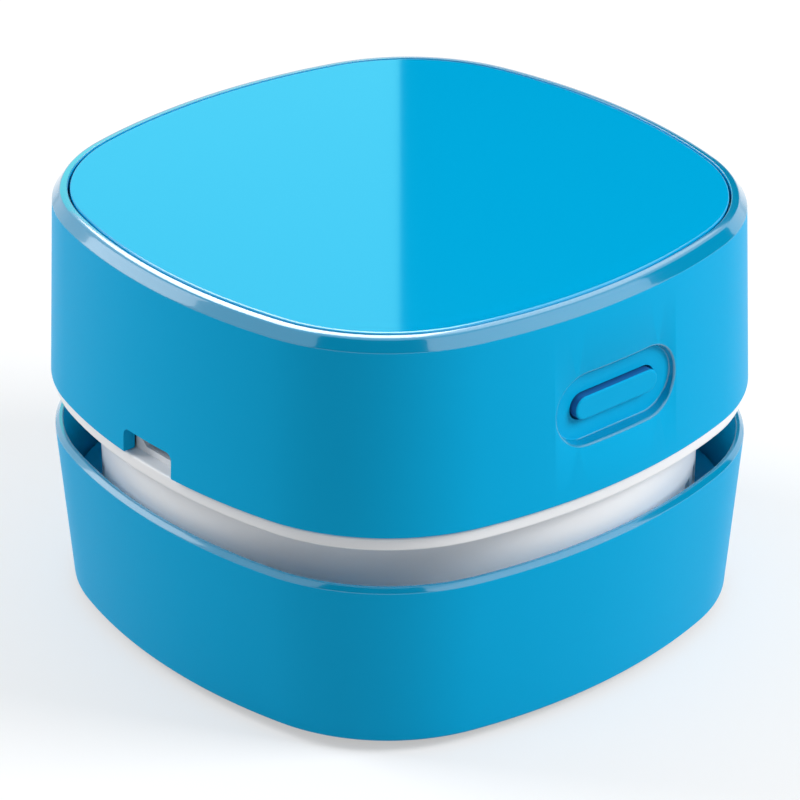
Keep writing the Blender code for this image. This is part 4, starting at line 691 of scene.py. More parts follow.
upper_shell = swept(
    "upper_shell",
    rounded(
        [
            (POCKET_INSET, TOP - POCKET_DEPTH, 0),
            (POCKET_INSET, TOP, CREST_EDGE),
            (TAPER + BEVEL_WIDTH, TOP - LAND_FALL, BEVEL_EDGE),
            (TAPER, SHOULDER, SOFT_EDGE),
            (0, SHELL_BOTTOM, HEM_EDGE),
            (WALL, SHELL_BOTTOM, HAIR_EDGE),
            (WALL + TAPER, TOP - CEILING, 0),
        ]
    ),
    blue_abs,
)
upper_shell.data.materials.append(polished_blue)
print("upper shell", len(upper_shell.data.polygons))

# %% [markdown]
# The power button sits in a pill-shaped surround that is sunk into the
# front wall. The wall is curved, so each ring of the cutter is laid on the
# wall's own surface and then drawn in: that gives the surround a rounded
# lip of even width all the way round.

# %% The button's surround
button_low, button_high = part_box("power_button")
BUTTON_Z = (button_low.z + button_high.z) / 2
SURROUND_HALF_LENGTH = 0.0105
SURROUND_HALF_HEIGHT = 0.0052
SURROUND_DEPTH = 0.0015
SURROUND_LIP = 0.0004
SURROUND_DRAFT = 0.0001
FLOOR_THICKNESS = 0.0012
PILL_STEPS = 24
STRAIGHT_STEPS = 12
OVER = 0.0006
GAP = 0.0003
wall_height = SHOULDER - SHELL_BOTTOM
BUTTON_WALL_Y = -(BODY_HALF - TAPER * (BUTTON_Z - SHELL_BOTTOM) / wall_height)
FLOOR_Y = BUTTON_WALL_Y + SURROUND_DEPTH


def wall_y(x, z):
    """The front wall's surface at a place on it."""
    radius = SIDE_RADIUS - TAPER * (z - SHELL_BOTTOM) / wall_height
    return SIDE_BEYOND - math.sqrt(radius**2 - x**2)


def pill(half_length, half_height):
    """Points (x, z) round a bar with round ends, its straight runs cut into short steps."""
    straight = half_length - half_height
    points = []
    for end in (1, -1):
        for i in range(PILL_STEPS + 1):
            a = math.pi * i / PILL_STEPS - math.pi / 2
            x = straight + half_height * math.cos(a)
            points.append((end * x, end * half_height * math.sin(a)))
        for i in range(1, STRAIGHT_STEPS):
            points.append((end * straight * (1 - 2 * i / STRAIGHT_STEPS), end * half_height))
    return points


def on_wall(grow, depth):
    """The surround's outline grown by an amount, drawn in from the wall by a depth."""
    ring = pill(SURROUND_HALF_LENGTH + grow, SURROUND_HALF_HEIGHT + grow)
    return [Vector((x, wall_y(x, z + BUTTON_Z) + depth, z + BUTTON_Z)) for x, z in ring]


def flat(half_length, half_height, y):
    """A pill outline in an upright plane."""
    return [Vector((x, y, z + BUTTON_Z)) for x, z in pill(half_length, half_height)]


LIP_SHIFT = 0.00002
rings = [on_wall(LIP_SHIFT, -OVER)]
for less_sine, less_cosine in quarter_turn():
    rings.append(on_wall(SURROUND_LIP * (less_sine - 1), SURROUND_LIP * less_cosine - LIP_SHIFT))
SURROUND_FOOT = 0.0003
for less_sine, less_cosine in quarter_turn():
    shrink = SURROUND_LIP + SURROUND_DRAFT + SURROUND_FOOT * less_cosine
    y = FLOOR_Y - SURROUND_FOOT * less_sine
    rings.append(flat(SURROUND_HALF_LENGTH - shrink, SURROUND_HALF_HEIGHT - shrink, y))
surround_cut = loft("surround_cut", rings)

PAD_MARGIN = 0.0015
pad = loft(
    "pad",
    [
        flat(SURROUND_HALF_LENGTH + PAD_MARGIN, SURROUND_HALF_HEIGHT + PAD_MARGIN, y)
        for y in (FLOOR_Y, FLOOR_Y + FLOOR_THICKNESS)
    ],
)
BUTTON_HALF_LENGTH = 0.007
BUTTON_HALF_HEIGHT = 0.0016
hole_ends = (FLOOR_Y - OVER, FLOOR_Y + FLOOR_THICKNESS + OVER)
button_hole = loft(
    "button_hole", [flat(BUTTON_HALF_LENGTH + GAP, BUTTON_HALF_HEIGHT + GAP, y) for y in hole_ends]
)
print("surround floor at", round(FLOOR_Y, 5))

# %% [markdown]
# The charging notch is a window in the wall's lower edge on the left. Its
# two upper corners are rounded, and its sides are cut square through the
# wall, which is why the photograph shows the wall's thickness there.

# %% The charging notch, bosses and the finished shell
NOTCH_HALF = 0.0049
NOTCH_HEIGHT = 0.0035
NOTCH_CORNER = 0.001
NOTCH_STEPS = 8
PORT_SET_BACK = 0.0006
UPSTAND_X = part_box("charge_port_shell")[0].x - PORT_SET_BACK

half_outline = [(NOTCH_HALF, SHELL_BOTTOM - OVER)]
for less_sine, less_cosine in quarter_turn(NOTCH_STEPS):
    z = SHELL_BOTTOM + NOTCH_HEIGHT - NOTCH_CORNER * less_sine
    half_outline.append((NOTCH_HALF - NOTCH_CORNER * less_cosine, z))
notch_outline = [(-NOTCH_HALF, SHELL_BOTTOM - OVER)] + half_outline
notch_outline += [(-y, z) for y, z in reversed(half_outline[1:])]
notch_cut = loft(
    "notch_cut", [[Vector((x, y, z)) for y, z in notch_outline] for x in (-BODY_HALF - OVER, UPSTAND_X)]
)



def centre_of(node):
    """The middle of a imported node's box."""
    node_low, node_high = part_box(node)
    return (node_low + node_high) / 2


screw_middle = centre_of("housing_screw_1")
SCREW_CIRCLE = math.hypot(screw_middle.x, screw_middle.y)
BOSS_RADIUS = 0.0032
PILOT_RADIUS = 0.0013
PILOT_DEPTH = 0.006
BOSS_SIDES = 32
PILOT_SIDES = 24
CORNERS = (45, 135, 225, 315)


def around(radius, degrees):
    """A place on a circle round the axis."""
    return radius * math.cos(math.radians(degrees)), radius * math.sin(math.radians(degrees))


bosses, pilots = [], []
for degrees in CORNERS:
    x, y = around(SCREW_CIRCLE, degrees)
    boss = [(BOSS_RADIUS, SHELL_BOTTOM), (BOSS_RADIUS, TOP - CEILING + OVER)]
    pilot = [(PILOT_RADIUS, SHELL_BOTTOM - OVER), (PILOT_RADIUS, SHELL_BOTTOM + PILOT_DEPTH)]
    bosses.append(turned("boss", boss, None, BOSS_SIDES, x=x, y=y))
    pilots.append(turned("pilot", pilot, None, PILOT_SIDES, x=x, y=y))
upper_shell = combined(upper_shell, [pad, *bosses], "UNION")
upper_shell = combined(upper_shell, [surround_cut, notch_cut, *pilots], "DIFFERENCE")
upper_shell = combined(upper_shell, [button_hole], "DIFFERENCE")

BEVEL_TILT = 0.25
for face in upper_shell.data.polygons:
    on_bevel = SHOULDER - BEVEL_EDGE < face.center.z and face.normal.z > BEVEL_TILT
    corners = [upper_shell.data.vertices[i].co for i in face.vertices]
    on_lip = all(
        corner.y < FLOOR_Y - LIP_SHIFT
        and abs(corner.x) < SURROUND_HALF_LENGTH + LIP_SHIFT
        and abs(corner.z - BUTTON_Z) < SURROUND_HALF_HEIGHT + LIP_SHIFT
        for corner in corners
    )
    face.material_index = 1 if on_bevel or on_lip else 0
dressed(upper_shell, "upper", "upper_housing", slot="blue_abs")

# %% [markdown]
# The cover is a flat plate of polished plastic, dropped into the pocket on
# four pegs with a hairline gap all round. Its mirror finish is what splits
# the top into a paler and a deeper half in the photograph.

# %% Top cover
COVER_INSET = POCKET_INSET + GAP
COVER_THICKNESS = 0.0015
COVER_BOTTOM = TOP - COVER_THICKNESS
PEG_RADIUS = 0.0015
PEG_CIRCLE = 0.021
top_cover = plate("polished_cover", COVER_INSET, COVER_BOTTOM, TOP, HAIR_EDGE, FINE_EDGE, cover_blue)
pegs = []
for degrees in CORNERS:
    x, y = around(PEG_CIRCLE, degrees)
    peg = [(PEG_RADIUS, TOP - CEILING), (PEG_RADIUS, COVER_BOTTOM + OVER)]
    pegs.append(turned("peg", peg, None, PILOT_SIDES, x=x, y=y))
top_cover = combined(top_cover, pegs, "UNION")
dressed(top_cover, "upper", "top_cover", slot="blue_abs")

# %% [markdown]
# The power button is a pill that stands proud of its surround. Behind the
# wall it has a flange that keeps it in and a short post that pushes the
# switch. Its front edge has a small radius that catches the light. Its
# sides are coloured a deep navy, which is painted shade on the same blue plastic.

# %% Power button
BUTTON_FRONT = button_low.y
BUTTON_EDGE = 0.00025
RETAINER_Y = FLOOR_Y + FLOOR_THICKNESS + GAP
RETAINER_THICKNESS = 0.001
RETAINER_REACH = 0.0012
POST_RADIUS = 0.0014
SKIRT_TILT = 0.3
rings = []
for less_sine, less_cosine in quarter_turn():
    shrink = BUTTON_EDGE * less_sine
    y = BUTTON_FRONT + BUTTON_EDGE * less_cosine
    rings.append(flat(BUTTON_HALF_LENGTH - shrink, BUTTON_HALF_HEIGHT - shrink, y))
shrink = 2 * BUTTON_EDGE
rings.insert(0, flat(BUTTON_HALF_LENGTH - shrink, BUTTON_HALF_HEIGHT - shrink, BUTTON_FRONT))
back_y = RETAINER_Y + RETAINER_THICKNESS
rings += [
    flat(BUTTON_HALF_LENGTH, BUTTON_HALF_HEIGHT, RETAINER_Y),
    flat(BUTTON_HALF_LENGTH + RETAINER_REACH, BUTTON_HALF_HEIGHT + RETAINER_REACH, RETAINER_Y),
    flat(BUTTON_HALF_LENGTH + RETAINER_REACH, BUTTON_HALF_HEIGHT + RETAINER_REACH, back_y),
    flat(POST_RADIUS, POST_RADIUS, back_y),
    flat(POST_RADIUS, POST_RADIUS, button_high.y),
]
power_button = loft("power_button_cap", rings, blue_abs)
power_button.data.materials.append(button_side_painted_shade)
# Faces that look sideways, up or down take the deep navy: painted shade on the button's sides.
for face in power_button.data.polygons:
    face.material_index = 1 if abs(face.normal.y) < SKIRT_TILT else 0
dressed(power_button, "button", "power_button", slot="blue_abs")

# %% [markdown]
# Slots, blades, ribs and screws repeat, so a second tree lays copies of one
# item at a list of places. Each place is a point of a small helper mesh,
# and its turn is an attribute on that point, so one tree serves them all.

# %% The copying tree
copies_tree = new_tree("copies_at_places")
given = sockets_of(
    copies_tree,
    ("Item", "NodeSocketObject", None),
    ("Scale", "NodeSocketFloat", 1.0),
    ("Material", "NodeSocketMaterial", None),
)
as_made, as_vector = {"transform_space": "ORIGINAL"}, {"data_type": "FLOAT_VECTOR"}
item = add(copies_tree, "GeometryNodeObjectInfo", as_made, Object=given["Item"])
turn = add(copies_tree, "GeometryNodeInputNamedAttribute", as_vector, Name="turn")
laid = add(
    copies_tree,
    "GeometryNodeInstanceOnPoints",
    Points=given["Geometry"],
    Instance=item.outputs["Geometry"],
    Rotation=turn,
    Scale=given["Scale"],
)
end_tree(copies_tree, laid, given["Material"])


def copies(name, item, places, material=None):
    """Copies of an item at (place, turn) pairs, as one mesh; the item is used up."""
    mesh = bpy.data.meshes.new("places")
    mesh.from_pydata([place for place, turn in places], [], [])
    turns = mesh.attributes.new("turn", "FLOAT_VECTOR", "POINT")
    for slot, (place, turn) in zip(turns.data, places):
        slot.vector = turn
    holder = bpy.data.objects.new("places", mesh)
    modifier = holder.modifiers.new("copy", "NODES")
    modifier.node_group = copies_tree
    set_inputs(modifier, item=item, material=material)
    made = frozen(holder, name, material)
    bpy.data.objects.remove(item)
    return made


def ring_of(degrees_list):
    """Places at the axis, each turned by its angle."""
    return [((0, 0, 0), (0, 0, math.radians(degrees))) for degrees in degrees_list]


def rod(radius, low, high, x=0.0, y=0.0, sides=32):
    """An upright cylinder."""
    return turned("rod", [(radius, low), (radius, high)], None, sides, x=x, y=y)


# %% [markdown]
# One white moulding carries all that the upper half holds. Its flange is
# the pale line under the blue wall, and its barrel plugs into the bin. A
# small cove runs from barrel to flange, as a mould maker adds it so that
# the plastic flows, and it draws the thin grey line in the photograph.

# %% White flange and barrel
chassis_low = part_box("inner_chassis")[0]
DECK = SHELL_BOTTOM - GAP
FLANGE_THICKNESS = 0.0018
FLANGE = DECK - FLANGE_THICKNESS
FLANGE_INSET = 0.0006
BARREL_INSET = 0.0025
BARREL_WALL = 0.0015
BARREL_RADIUS = BODY_HALF - BARREL_INSET
BORE = BARREL_RADIUS - BARREL_WALL
BARREL_BOTTOM = chassis_low.z
COVE = 0.0012
COVE_STEPS = 8
BARREL_SIDES = 180

chassis = plate("white_chassis", FLANGE_INSET, DECK, FLANGE, SOFT_EDGE, SOFT_EDGE, white_abs)
profile = [(BARREL_RADIUS + COVE, FLANGE + OVER)]
for less_sine, less_cosine in quarter_turn(COVE_STEPS):
    profile.append((BARREL_RADIUS + COVE * less_sine, FLANGE - COVE * less_cosine))
profile += rounded(
    [
        (BARREL_RADIUS, FLANGE - 2 * COVE, 0),
        (BARREL_RADIUS, BARREL_BOTTOM, SOFT_EDGE),
        (BORE, BARREL_BOTTOM, SOFT_EDGE),
        (BORE, FLANGE + OVER, 0),
    ]
)
barrel = turned("barrel", profile, None, BARREL_SIDES, loop=True)

# %% Motor well, posts, upstand and key
can_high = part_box("motor_can")[1]
WELL_RADIUS = can_high.x + GAP
WELL_WALL = 0.0015
WELL_RISE = 0.005
WELL_SINK = 0.0013
WELL_TOP = DECK + WELL_RISE
WELL_FLOOR = DECK - WELL_SINK
ROUND_SIDES = 96
NOSE_HOLE = 0.0033
clamp_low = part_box("motor_clamp")[0]
CLAMP_POST_X = centre_of("clamp_screw_1").x
board_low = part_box("control_board")[0]
STANDOFF_X, STANDOFF_Y = centre_of("board_screw_1").x, abs(centre_of("board_screw_1").y)
HOLDER_SCREW_X, HOLDER_SCREW_Y = abs(centre_of("holder_screw_1").x), centre_of("holder_screw_1").y
cover_low, cover_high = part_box("fan_cover")
FAN_COVER_BOTTOM = BARREL_BOTTOM + GAP
FAN_COVER_TOP = cover_high.z
FAN_POST_INSET = 0.007
FAN_POST_CIRCLE = BORE - FAN_POST_INSET
FAN_POSTS = (90, 210, 330)
port_low, port_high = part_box("charge_port_shell")
UPSTAND_THICKNESS = 0.0012
UPSTAND_MARGIN = 0.0012
UPSTAND_HALF = port_high.y + GAP + UPSTAND_MARGIN
KEY_HALF = 0.001
KEY_REACH = 0.0028
KEY_HEIGHT = 0.008
KEY_AT = 45
CLAMP_POST_RADIUS = 0.003
STANDOFF_RADIUS = 0.0024
FAN_POST_RADIUS = 0.0025

well = turned(
    "well",
    [
        (WELL_RADIUS + WELL_WALL, WELL_TOP),
        (WELL_RADIUS + WELL_WALL, WELL_FLOOR - WELL_WALL),
        (NOSE_HOLE, WELL_FLOOR - WELL_WALL),
        (NOSE_HOLE, WELL_FLOOR),
        (WELL_RADIUS, WELL_FLOOR),
        (WELL_RADIUS, WELL_TOP),
    ],
    None,
    ROUND_SIDES,
    loop=True,
)
posts = []
for side in (1, -1):
    posts.append(rod(CLAMP_POST_RADIUS, DECK - OVER, clamp_low.z - GAP, side * CLAMP_POST_X))
for side in (1, -1):
    posts.append(rod(STANDOFF_RADIUS, DECK - OVER, board_low.z - GAP, STANDOFF_X, side * STANDOFF_Y))
for at in FAN_POSTS:
    posts.append(rod(FAN_POST_RADIUS, FAN_COVER_TOP + GAP, FLANGE + OVER, *around(FAN_POST_CIRCLE, at)))
UPSTAND_TOP = board_low.z + UPSTAND_MARGIN
UPSTAND_BACK = UPSTAND_X + UPSTAND_THICKNESS
upstand = box("upstand", UPSTAND_X, UPSTAND_BACK, -UPSTAND_HALF, UPSTAND_HALF, DECK - OVER, UPSTAND_TOP)
KEY_OUTER, KEY_TOP = BARREL_RADIUS + KEY_REACH, BARREL_BOTTOM + KEY_HEIGHT
key = box("key", BORE + OVER, KEY_OUTER, -KEY_HALF, KEY_HALF, BARREL_BOTTOM, KEY_TOP)
spun(key, KEY_AT)
well_mouth = rod(WELL_RADIUS + OVER, FLANGE - OVER, DECK + OVER, sides=ROUND_SIDES)
chassis = combined(chassis, [well_mouth], "DIFFERENCE")
chassis = combined(chassis, [barrel, well, *posts, upstand, key], "UNION")

# %% [markdown]
# Air that the fan throws out leaves through slots in the barrel, behind
# each corner of the body, where there is room for it to get away. One slot
# cutter is copied round the barrel by the tree. The port looks out through
# a hole in the upstand with its two lower corners cut off, so that a plug
# goes in one way round only.

# %% Slots, port hole and screw holes
SLOTS = 5
SLOT_WIDTH = 0.0024
SLOT_HEIGHT = 0.0032
SLOT_SPACING = 0.0048
SLOT_PITCH = math.degrees(SLOT_SPACING / BARREL_RADIUS)
PORT_CORNER = 0.0009
PORT_ROUND = 0.00025


def port_outline(grow, x):
    """The port's outline at an x: a slot with its lower corners cut off, all corners rounded."""
    half, low, high = port_high.y + grow, port_low.z - grow, port_high.z + grow
    corners = [
        (half, high),
        (-half, high),
        (-half, low + PORT_CORNER),
        (PORT_CORNER - half, low),
        (half - PORT_CORNER, low),
        (half, low + PORT_CORNER),
    ]
    points = rounded([(y, z, PORT_ROUND) for y, z in corners], loop=True)
    return [Vector((x, y, z)) for y, z in points]


low, half = FAN_COVER_TOP + GAP, SLOT_WIDTH / 2
slot_item = box("slot", BORE - OVER, BARREL_RADIUS + OVER, -half, half, low, low + SLOT_HEIGHT)
slot_angles = [corner + SLOT_PITCH * (i - (SLOTS - 1) / 2) for corner in CORNERS for i in range(SLOTS)]
slots = copies("slots", slot_item, ring_of([at for at in slot_angles if abs(at - KEY_AT) > 1]))
port_hole = loft("port_hole", [port_outline(GAP, x) for x in (UPSTAND_X - OVER, UPSTAND_BACK + OVER)])
BOARD_PILOT = 0.004
low, high = FLANGE - OVER, DECK + OVER
holes = [rod(PILOT_RADIUS, low, high, *around(SCREW_CIRCLE, at)) for at in CORNERS]
holes += [rod(PILOT_RADIUS, low, high, side * HOLDER_SCREW_X, HOLDER_SCREW_Y) for side in (1, -1)]
low, high = clamp_low.z - GAP - PILOT_DEPTH, clamp_low.z + OVER
holes += [rod(PILOT_RADIUS, low, high, side * CLAMP_POST_X) for side in (1, -1)]
low, high = board_low.z - GAP - BOARD_PILOT, board_low.z + OVER
holes += [rod(PILOT_RADIUS, low, high, STANDOFF_X, side * STANDOFF_Y) for side in (1, -1)]
low, high = FAN_COVER_TOP - OVER, FAN_COVER_TOP + GAP + PILOT_DEPTH
holes += [rod(PILOT_RADIUS, low, high, *around(FAN_POST_CIRCLE, at)) for at in FAN_POSTS]
chassis = combined(chassis, [slots, port_hole, *holes], "DIFFERENCE")
dressed(chassis, "upper", "inner_chassis", slot="white_abs")

# %% [markdown]
# The charging socket is a shell of folded, plated steel with a contact
# tongue inside. Its mouth is turned out a little to guide the plug, and
# five plated contacts lie along the tongue.

# %% Charging socket
PORT_METAL = 0.0003
PORT_FLARE = 0.00012
port_shell = loft(
    "port_shell",
    [
        port_outline(-PORT_METAL, port_high.x - PORT_METAL),
        port_outline(-PORT_METAL, port_low.x + PORT_METAL),
        port_outline(PORT_FLARE - PORT_METAL, port_low.x),
        port_outline(0, port_low.x),
        port_outline(0, port_high.x),
    ],
    plated_steel,
)
dressed(port_shell, "upper", "charge_port_shell", slot="steel")

tongue_low, tongue_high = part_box("charge_port_tongue")
TONGUE_LEAD = 0.0002
tongue = loft(
    "port_tongue",
    [
        [
            Vector((x, y, z))
            for y, z in (
                (tongue_low.y + inset, tongue_low.z + inset),
                (tongue_high.y - inset, tongue_low.z + inset),
                (tongue_high.y - inset, tongue_high.z - inset),
                (tongue_low.y + inset, tongue_high.z - inset),
            )
        ]
        for x, inset in ((tongue_low.x, TONGUE_LEAD), (tongue_low.x + TONGUE_LEAD, 0), (tongue_high.x, 0))
    ],
    black_nylon,
)
dressed(tongue, "upper", "charge_port_tongue", slot="black_nylon")
CONTACTS = 5
CONTACT_PITCH = 0.00065
CONTACT_HALF = 0.0002
CONTACT_PROUD = 0.00005
contact = box(
    "contact",
    tongue_low.x + 2 * TONGUE_LEAD,
    tongue_high.x,
    -CONTACT_HALF,
    CONTACT_HALF,
    tongue_low.z - CONTACT_PROUD,
    tongue_low.z + CONTACT_PROUD,
)
places = [((0, CONTACT_PITCH * (i - (CONTACTS - 1) / 2), 0), (0, 0, 0)) for i in range(CONTACTS)]
contacts = copies("port_contacts", contact, places, brass)
dressed(contacts, "upper", slot="brass")

# %% [markdown]
# The lower shell is the dust bin's wall. It leans in towards the desk, its
# rim has a polished bevel outside and a thin bright land, and a ribbed
# screw boss stands in each corner to hold the base plate and the seat.

# %% Lower shell
base_low, base_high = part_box("lower_housing")
BOTTOM = base_low.z
RIM = base_high.z
LOWER_HEIGHT = RIM - BOTTOM
RIM_INSET = 0.0002
LOWER_TAPER = 0.0017
LOWER_WALL = 0.0011
RIM_BEVEL = 0.0006
RIM_EDGE = 0.00025
FOOT_EDGE = 0.0003


def lower_inset(height):
    """The lower wall's inset at a height."""
    return RIM_INSET + LOWER_TAPER * (RIM - height) / LOWER_HEIGHT


def reach(inset):
    """How far the outline's corner is from the axis, at an inset."""
    return math.sqrt(2) * CORNER_CENTRE + CORNER_RADIUS - inset


lower_shell = swept(
    "lower_shell",
    rounded(
        [
            (lower_inset(BOTTOM) + FOOT_EDGE, BOTTOM, HAIR_EDGE),
            (lower_inset(BOTTOM), BOTTOM + FOOT_EDGE, FINE_EDGE),
            (RIM_INSET, RIM - RIM_BEVEL, RIM_EDGE),
            (RIM_INSET + RIM_BEVEL, RIM, FINE_EDGE),
            (RIM_INSET + LOWER_WALL, RIM, HEM_EDGE),
            (lower_inset(BOTTOM) + LOWER_WALL, BOTTOM, HAIR_EDGE),
        ],
        loop=True,
    ),
    blue_abs,
    loop=True,
)
lower_shell.data.materials.append(polished_blue)
plate_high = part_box("base_plate")[1]
seat_low, seat_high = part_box("barrel_seat")
BASE_THICKNESS = 0.0022
BASE_TOP = BOTTOM + BASE_THICKNESS
SHELF_THICKNESS = 0.0015
SHELF_BOTTOM = seat_low.z
SHELF_TOP = SHELF_BOTTOM + SHELF_THICKNESS
BASE_SCREW_INSET = 0.0045
FOOT_INSET = 0.011
BASE_INSET = RIM_INSET + LOWER_TAPER + LOWER_WALL + GAP
BASE_SCREW_CIRCLE = reach(BASE_INSET) - BASE_SCREW_INSET
FOOT_CIRCLE = reach(BASE_INSET) - FOOT_INSET
BASE_BOSS_RADIUS = 0.003
RIB_HALF = 0.0006
low, high = BASE_TOP + GAP, SHELF_BOTTOM - GAP
rib_item = box("rib", BASE_SCREW_CIRCLE, reach(lower_inset(low) + GAP), -RIB_HALF, RIB_HALF, low, high)
ribs = copies("ribs", rib_item, ring_of(CORNERS))
bosses = [rod(BASE_BOSS_RADIUS, low, high, *around(BASE_SCREW_CIRCLE, at)) for at in CORNERS]
pilots = [rod(PILOT_RADIUS, low - OVER, low + PILOT_DEPTH, *around(BASE_SCREW_CIRCLE, at)) for at in CORNERS]
lower_shell = combined(lower_shell, [ribs, *bosses], "UNION")
lower_shell = combined(lower_shell, pilots, "DIFFERENCE")
RIM_TILT = 0.2
for face in lower_shell.data.polygons:
    on_rim = face.center.z > RIM - RIM_BEVEL - FINE_EDGE and face.normal.z > RIM_TILT
    face.material_index = 1 if on_rim else 0
dressed(lower_shell, "base", "lower_housing", slot="blue_abs")

# %% [markdown]
# A ring plate in the bin is what the barrel seats on, through a soft ring.
# Two guides on it take the barrel's key, so that the halves go together
# one way round only. It is moulded in the bin's own blue, which is why the
# pockets at the corners look deep and dark in the photograph. It is swept
# round the outline and bored through.

# %% Barrel seat and seal
SEAT_INSET = lower_inset(SHELF_BOTTOM) + LOWER_WALL + GAP
SHELF_LIP = 0.0055
SHELF_BORE = BARREL_RADIUS - SHELF_LIP
BORE_FLARE_BELOW = 0.0004
BORE_FLARE_ABOVE = 0.0009
GUIDE_THICKNESS = 0.0012
GUIDE_INNER = BARREL_RADIUS + 2 * GAP
GUIDE_OUTER = reach(SEAT_INSET) - GAP
seat = plate("barrel_seat_ring", SEAT_INSET, SHELF_BOTTOM, SHELF_TOP, FINE_EDGE, FINE_EDGE, blue_abs)
guides = []
for side in (1, -1):
    faces = sorted((side * (KEY_HALF + GAP), side * (KEY_HALF + GAP + GUIDE_THICKNESS)))
    guide = box("guide", GUIDE_INNER, GUIDE_OUTER, *faces, SHELF_TOP - OVER, seat_high.z)
    guides.append(spun(guide, KEY_AT))
opening = turned(
    "opening",
    [
        (SHELF_BORE + BORE_FLARE_BELOW, SHELF_BOTTOM - OVER),
        (SHELF_BORE, SHELF_BOTTOM + SOFT_EDGE),
        (SHELF_BORE, SHELF_TOP - SOFT_EDGE),
        (SHELF_BORE + BORE_FLARE_ABOVE, SHELF_TOP + OVER),
    ],
    None,
    BARREL_SIDES,
)
seat = combined(seat, [opening], "DIFFERENCE")
seat = combined(seat, guides, "UNION")
dressed(seat, "base", "barrel_seat", slot="blue_abs")

seal_low, seal_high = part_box("seal_ring")
SEAL_LIP = 0.0008
SEAL_INNER = BORE - SEAL_LIP
seal = turned(
    "soft_seal",
    rounded(
        [
            (SEAL_INNER, seal_low.z, SOFT_EDGE),
            (BARREL_RADIUS, seal_low.z, SOFT_EDGE),
            (BARREL_RADIUS, seal_high.z, SOFT_EDGE),
            (SEAL_INNER, seal_high.z, SOFT_EDGE),
        ],
        loop=True,
    ),
    glide_rubber,
    BARREL_SIDES,
    loop=True,
)
dressed(seal, "base", "seal_ring", slot="grey_rubber")

# %% [markdown]
# The base plate closes the bin from below. In its middle is the suction
# mouth, whose chimney stands up inside so that crumbs can't fall back out.
# Four arcs of bristles ring the mouth, and four rubber feet are let in.

# %% Base plate
MOUTH_HALF_LENGTH = 0.014
MOUTH_HALF_WIDTH = 0.007
MOUTH_WALL = 0.0012
MOUTH_LIP = 0.0006
BRUSH_RADIUS = 0.0255
BRUSH_HALF = 0.001
BRUSH_SPAN = 66
BRUSH_STEPS = 40
GROOVE_DEPTH = 0.001
GROOVE_TOP = BOTTOM + GROOVE_DEPTH + GAP
FOOT_RADIUS = 0.0035
HEAD_RADIUS = 0.0019
HEAD_HEIGHT = 0.0011
SEAT_SIDES = 64
SINK_SIDES = 48


def lying(half_length, half_width, z):
    """A level pill outline."""
    return [Vector((x, y, z)) for x, y in pill(half_length, half_width)]


def arc_band(inner, outer, low, high, span, steps):
    """A stretch of a flat ring, centred on +X."""
    half = math.radians(span) / 2
    rings = []
    for i in range(steps + 1):
        a = half * (2 * i / steps - 1)
        out = Vector((math.cos(a), math.sin(a), 0))
        corners = ((inner, low), (outer, low), (outer, high), (inner, high))
        rings.append([out * radius + Vector((0, 0, z)) for radius, z in corners])
    return loft("arc_band", rings)


base_plate = plate("base_plate_moulding", BASE_INSET, BOTTOM, BASE_TOP, FINE_EDGE, HAIR_EDGE, grey_abs)
outer_length, outer_width = MOUTH_HALF_LENGTH + MOUTH_WALL, MOUTH_HALF_WIDTH + MOUTH_WALL
chimney = loft(
    "chimney",
    [
        lying(outer_length, outer_width, BASE_TOP - OVER),
        lying(outer_length, outer_width, plate_high.z - GAP),
        lying(outer_length - GAP, outer_width - GAP, plate_high.z),
    ],
)
rings = []
for less_sine, less_cosine in quarter_turn():
    grow = MOUTH_LIP * less_sine
    rings.append(lying(MOUTH_HALF_LENGTH + grow, MOUTH_HALF_WIDTH + grow, BOTTOM + MOUTH_LIP * less_cosine))
rings.insert(0, lying(MOUTH_HALF_LENGTH + MOUTH_LIP, MOUTH_HALF_WIDTH + MOUTH_LIP, BOTTOM - OVER))
rings.append(lying(MOUTH_HALF_LENGTH, MOUTH_HALF_WIDTH, plate_high.z + OVER))
mouth = loft("mouth", rings)
groove_item = arc_band(
    BRUSH_RADIUS - BRUSH_HALF - GAP,
    BRUSH_RADIUS + BRUSH_HALF + GAP,
    BOTTOM - OVER,
    GROOVE_TOP,
    BRUSH_SPAN + 2 * math.degrees(GAP / BRUSH_RADIUS),
    BRUSH_STEPS,
)
grooves = copies("grooves", groove_item, ring_of((0, 90, 180, 270)))
foot_low, foot_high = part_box("foot_1")
SINK_TOP = BOTTOM + HEAD_HEIGHT + GAP
seats, sinks, holes = [], [], []
for at in CORNERS:
    place = around(BASE_SCREW_CIRCLE, at)
    low = BOTTOM - OVER
    seats.append(rod(FOOT_RADIUS + GAP, low, foot_high.z + GAP, *around(FOOT_CIRCLE, at), SEAT_SIDES))
    sinks.append(rod(HEAD_RADIUS + GAP, low, SINK_TOP, *place, SINK_SIDES))
    holes.append(rod(PILOT_RADIUS, SINK_TOP - OVER, BASE_TOP + OVER, *place))
base_plate = combined(base_plate, [chimney], "UNION")
base_plate = combined(base_plate, [mouth, grooves, *seats, *sinks], "DIFFERENCE")
base_plate = combined(base_plate, holes, "DIFFERENCE")
dressed(base_plate, "base", "base_plate", slot="grey_abs")

# %% Glide feet
FOOT_ROUND = 0.0005
foot_item = turned(
    "foot",
    rounded(
        [
            (FOOT_RADIUS / 2, foot_low.z, 0),
            (FOOT_RADIUS, foot_low.z, FOOT_ROUND),
            (FOOT_RADIUS, foot_high.z, FINE_EDGE),
            (FOOT_RADIUS / 2, foot_high.z, 0),
        ]
    ),
)
places = [((*around(FOOT_CIRCLE, at), 0), (0, 0, 0)) for at in CORNERS]
feet = copies("glide_feet", foot_item, places, glide_rubber)
dressed(feet, "base", "foot_1", "foot_2", "foot_3", "foot_4", slot="grey_rubber")

# %% [markdown]
# A brush is thousands of nylon filaments set in a backing strip. The tree
# scatters points over the strip's underside and stands a thin, tapered
# filament on each, with a little lean and a little difference in length.
# Real filaments are about 0.1 mm thick, and 0.2 mm is drawn, so that one
# can be told from the next.

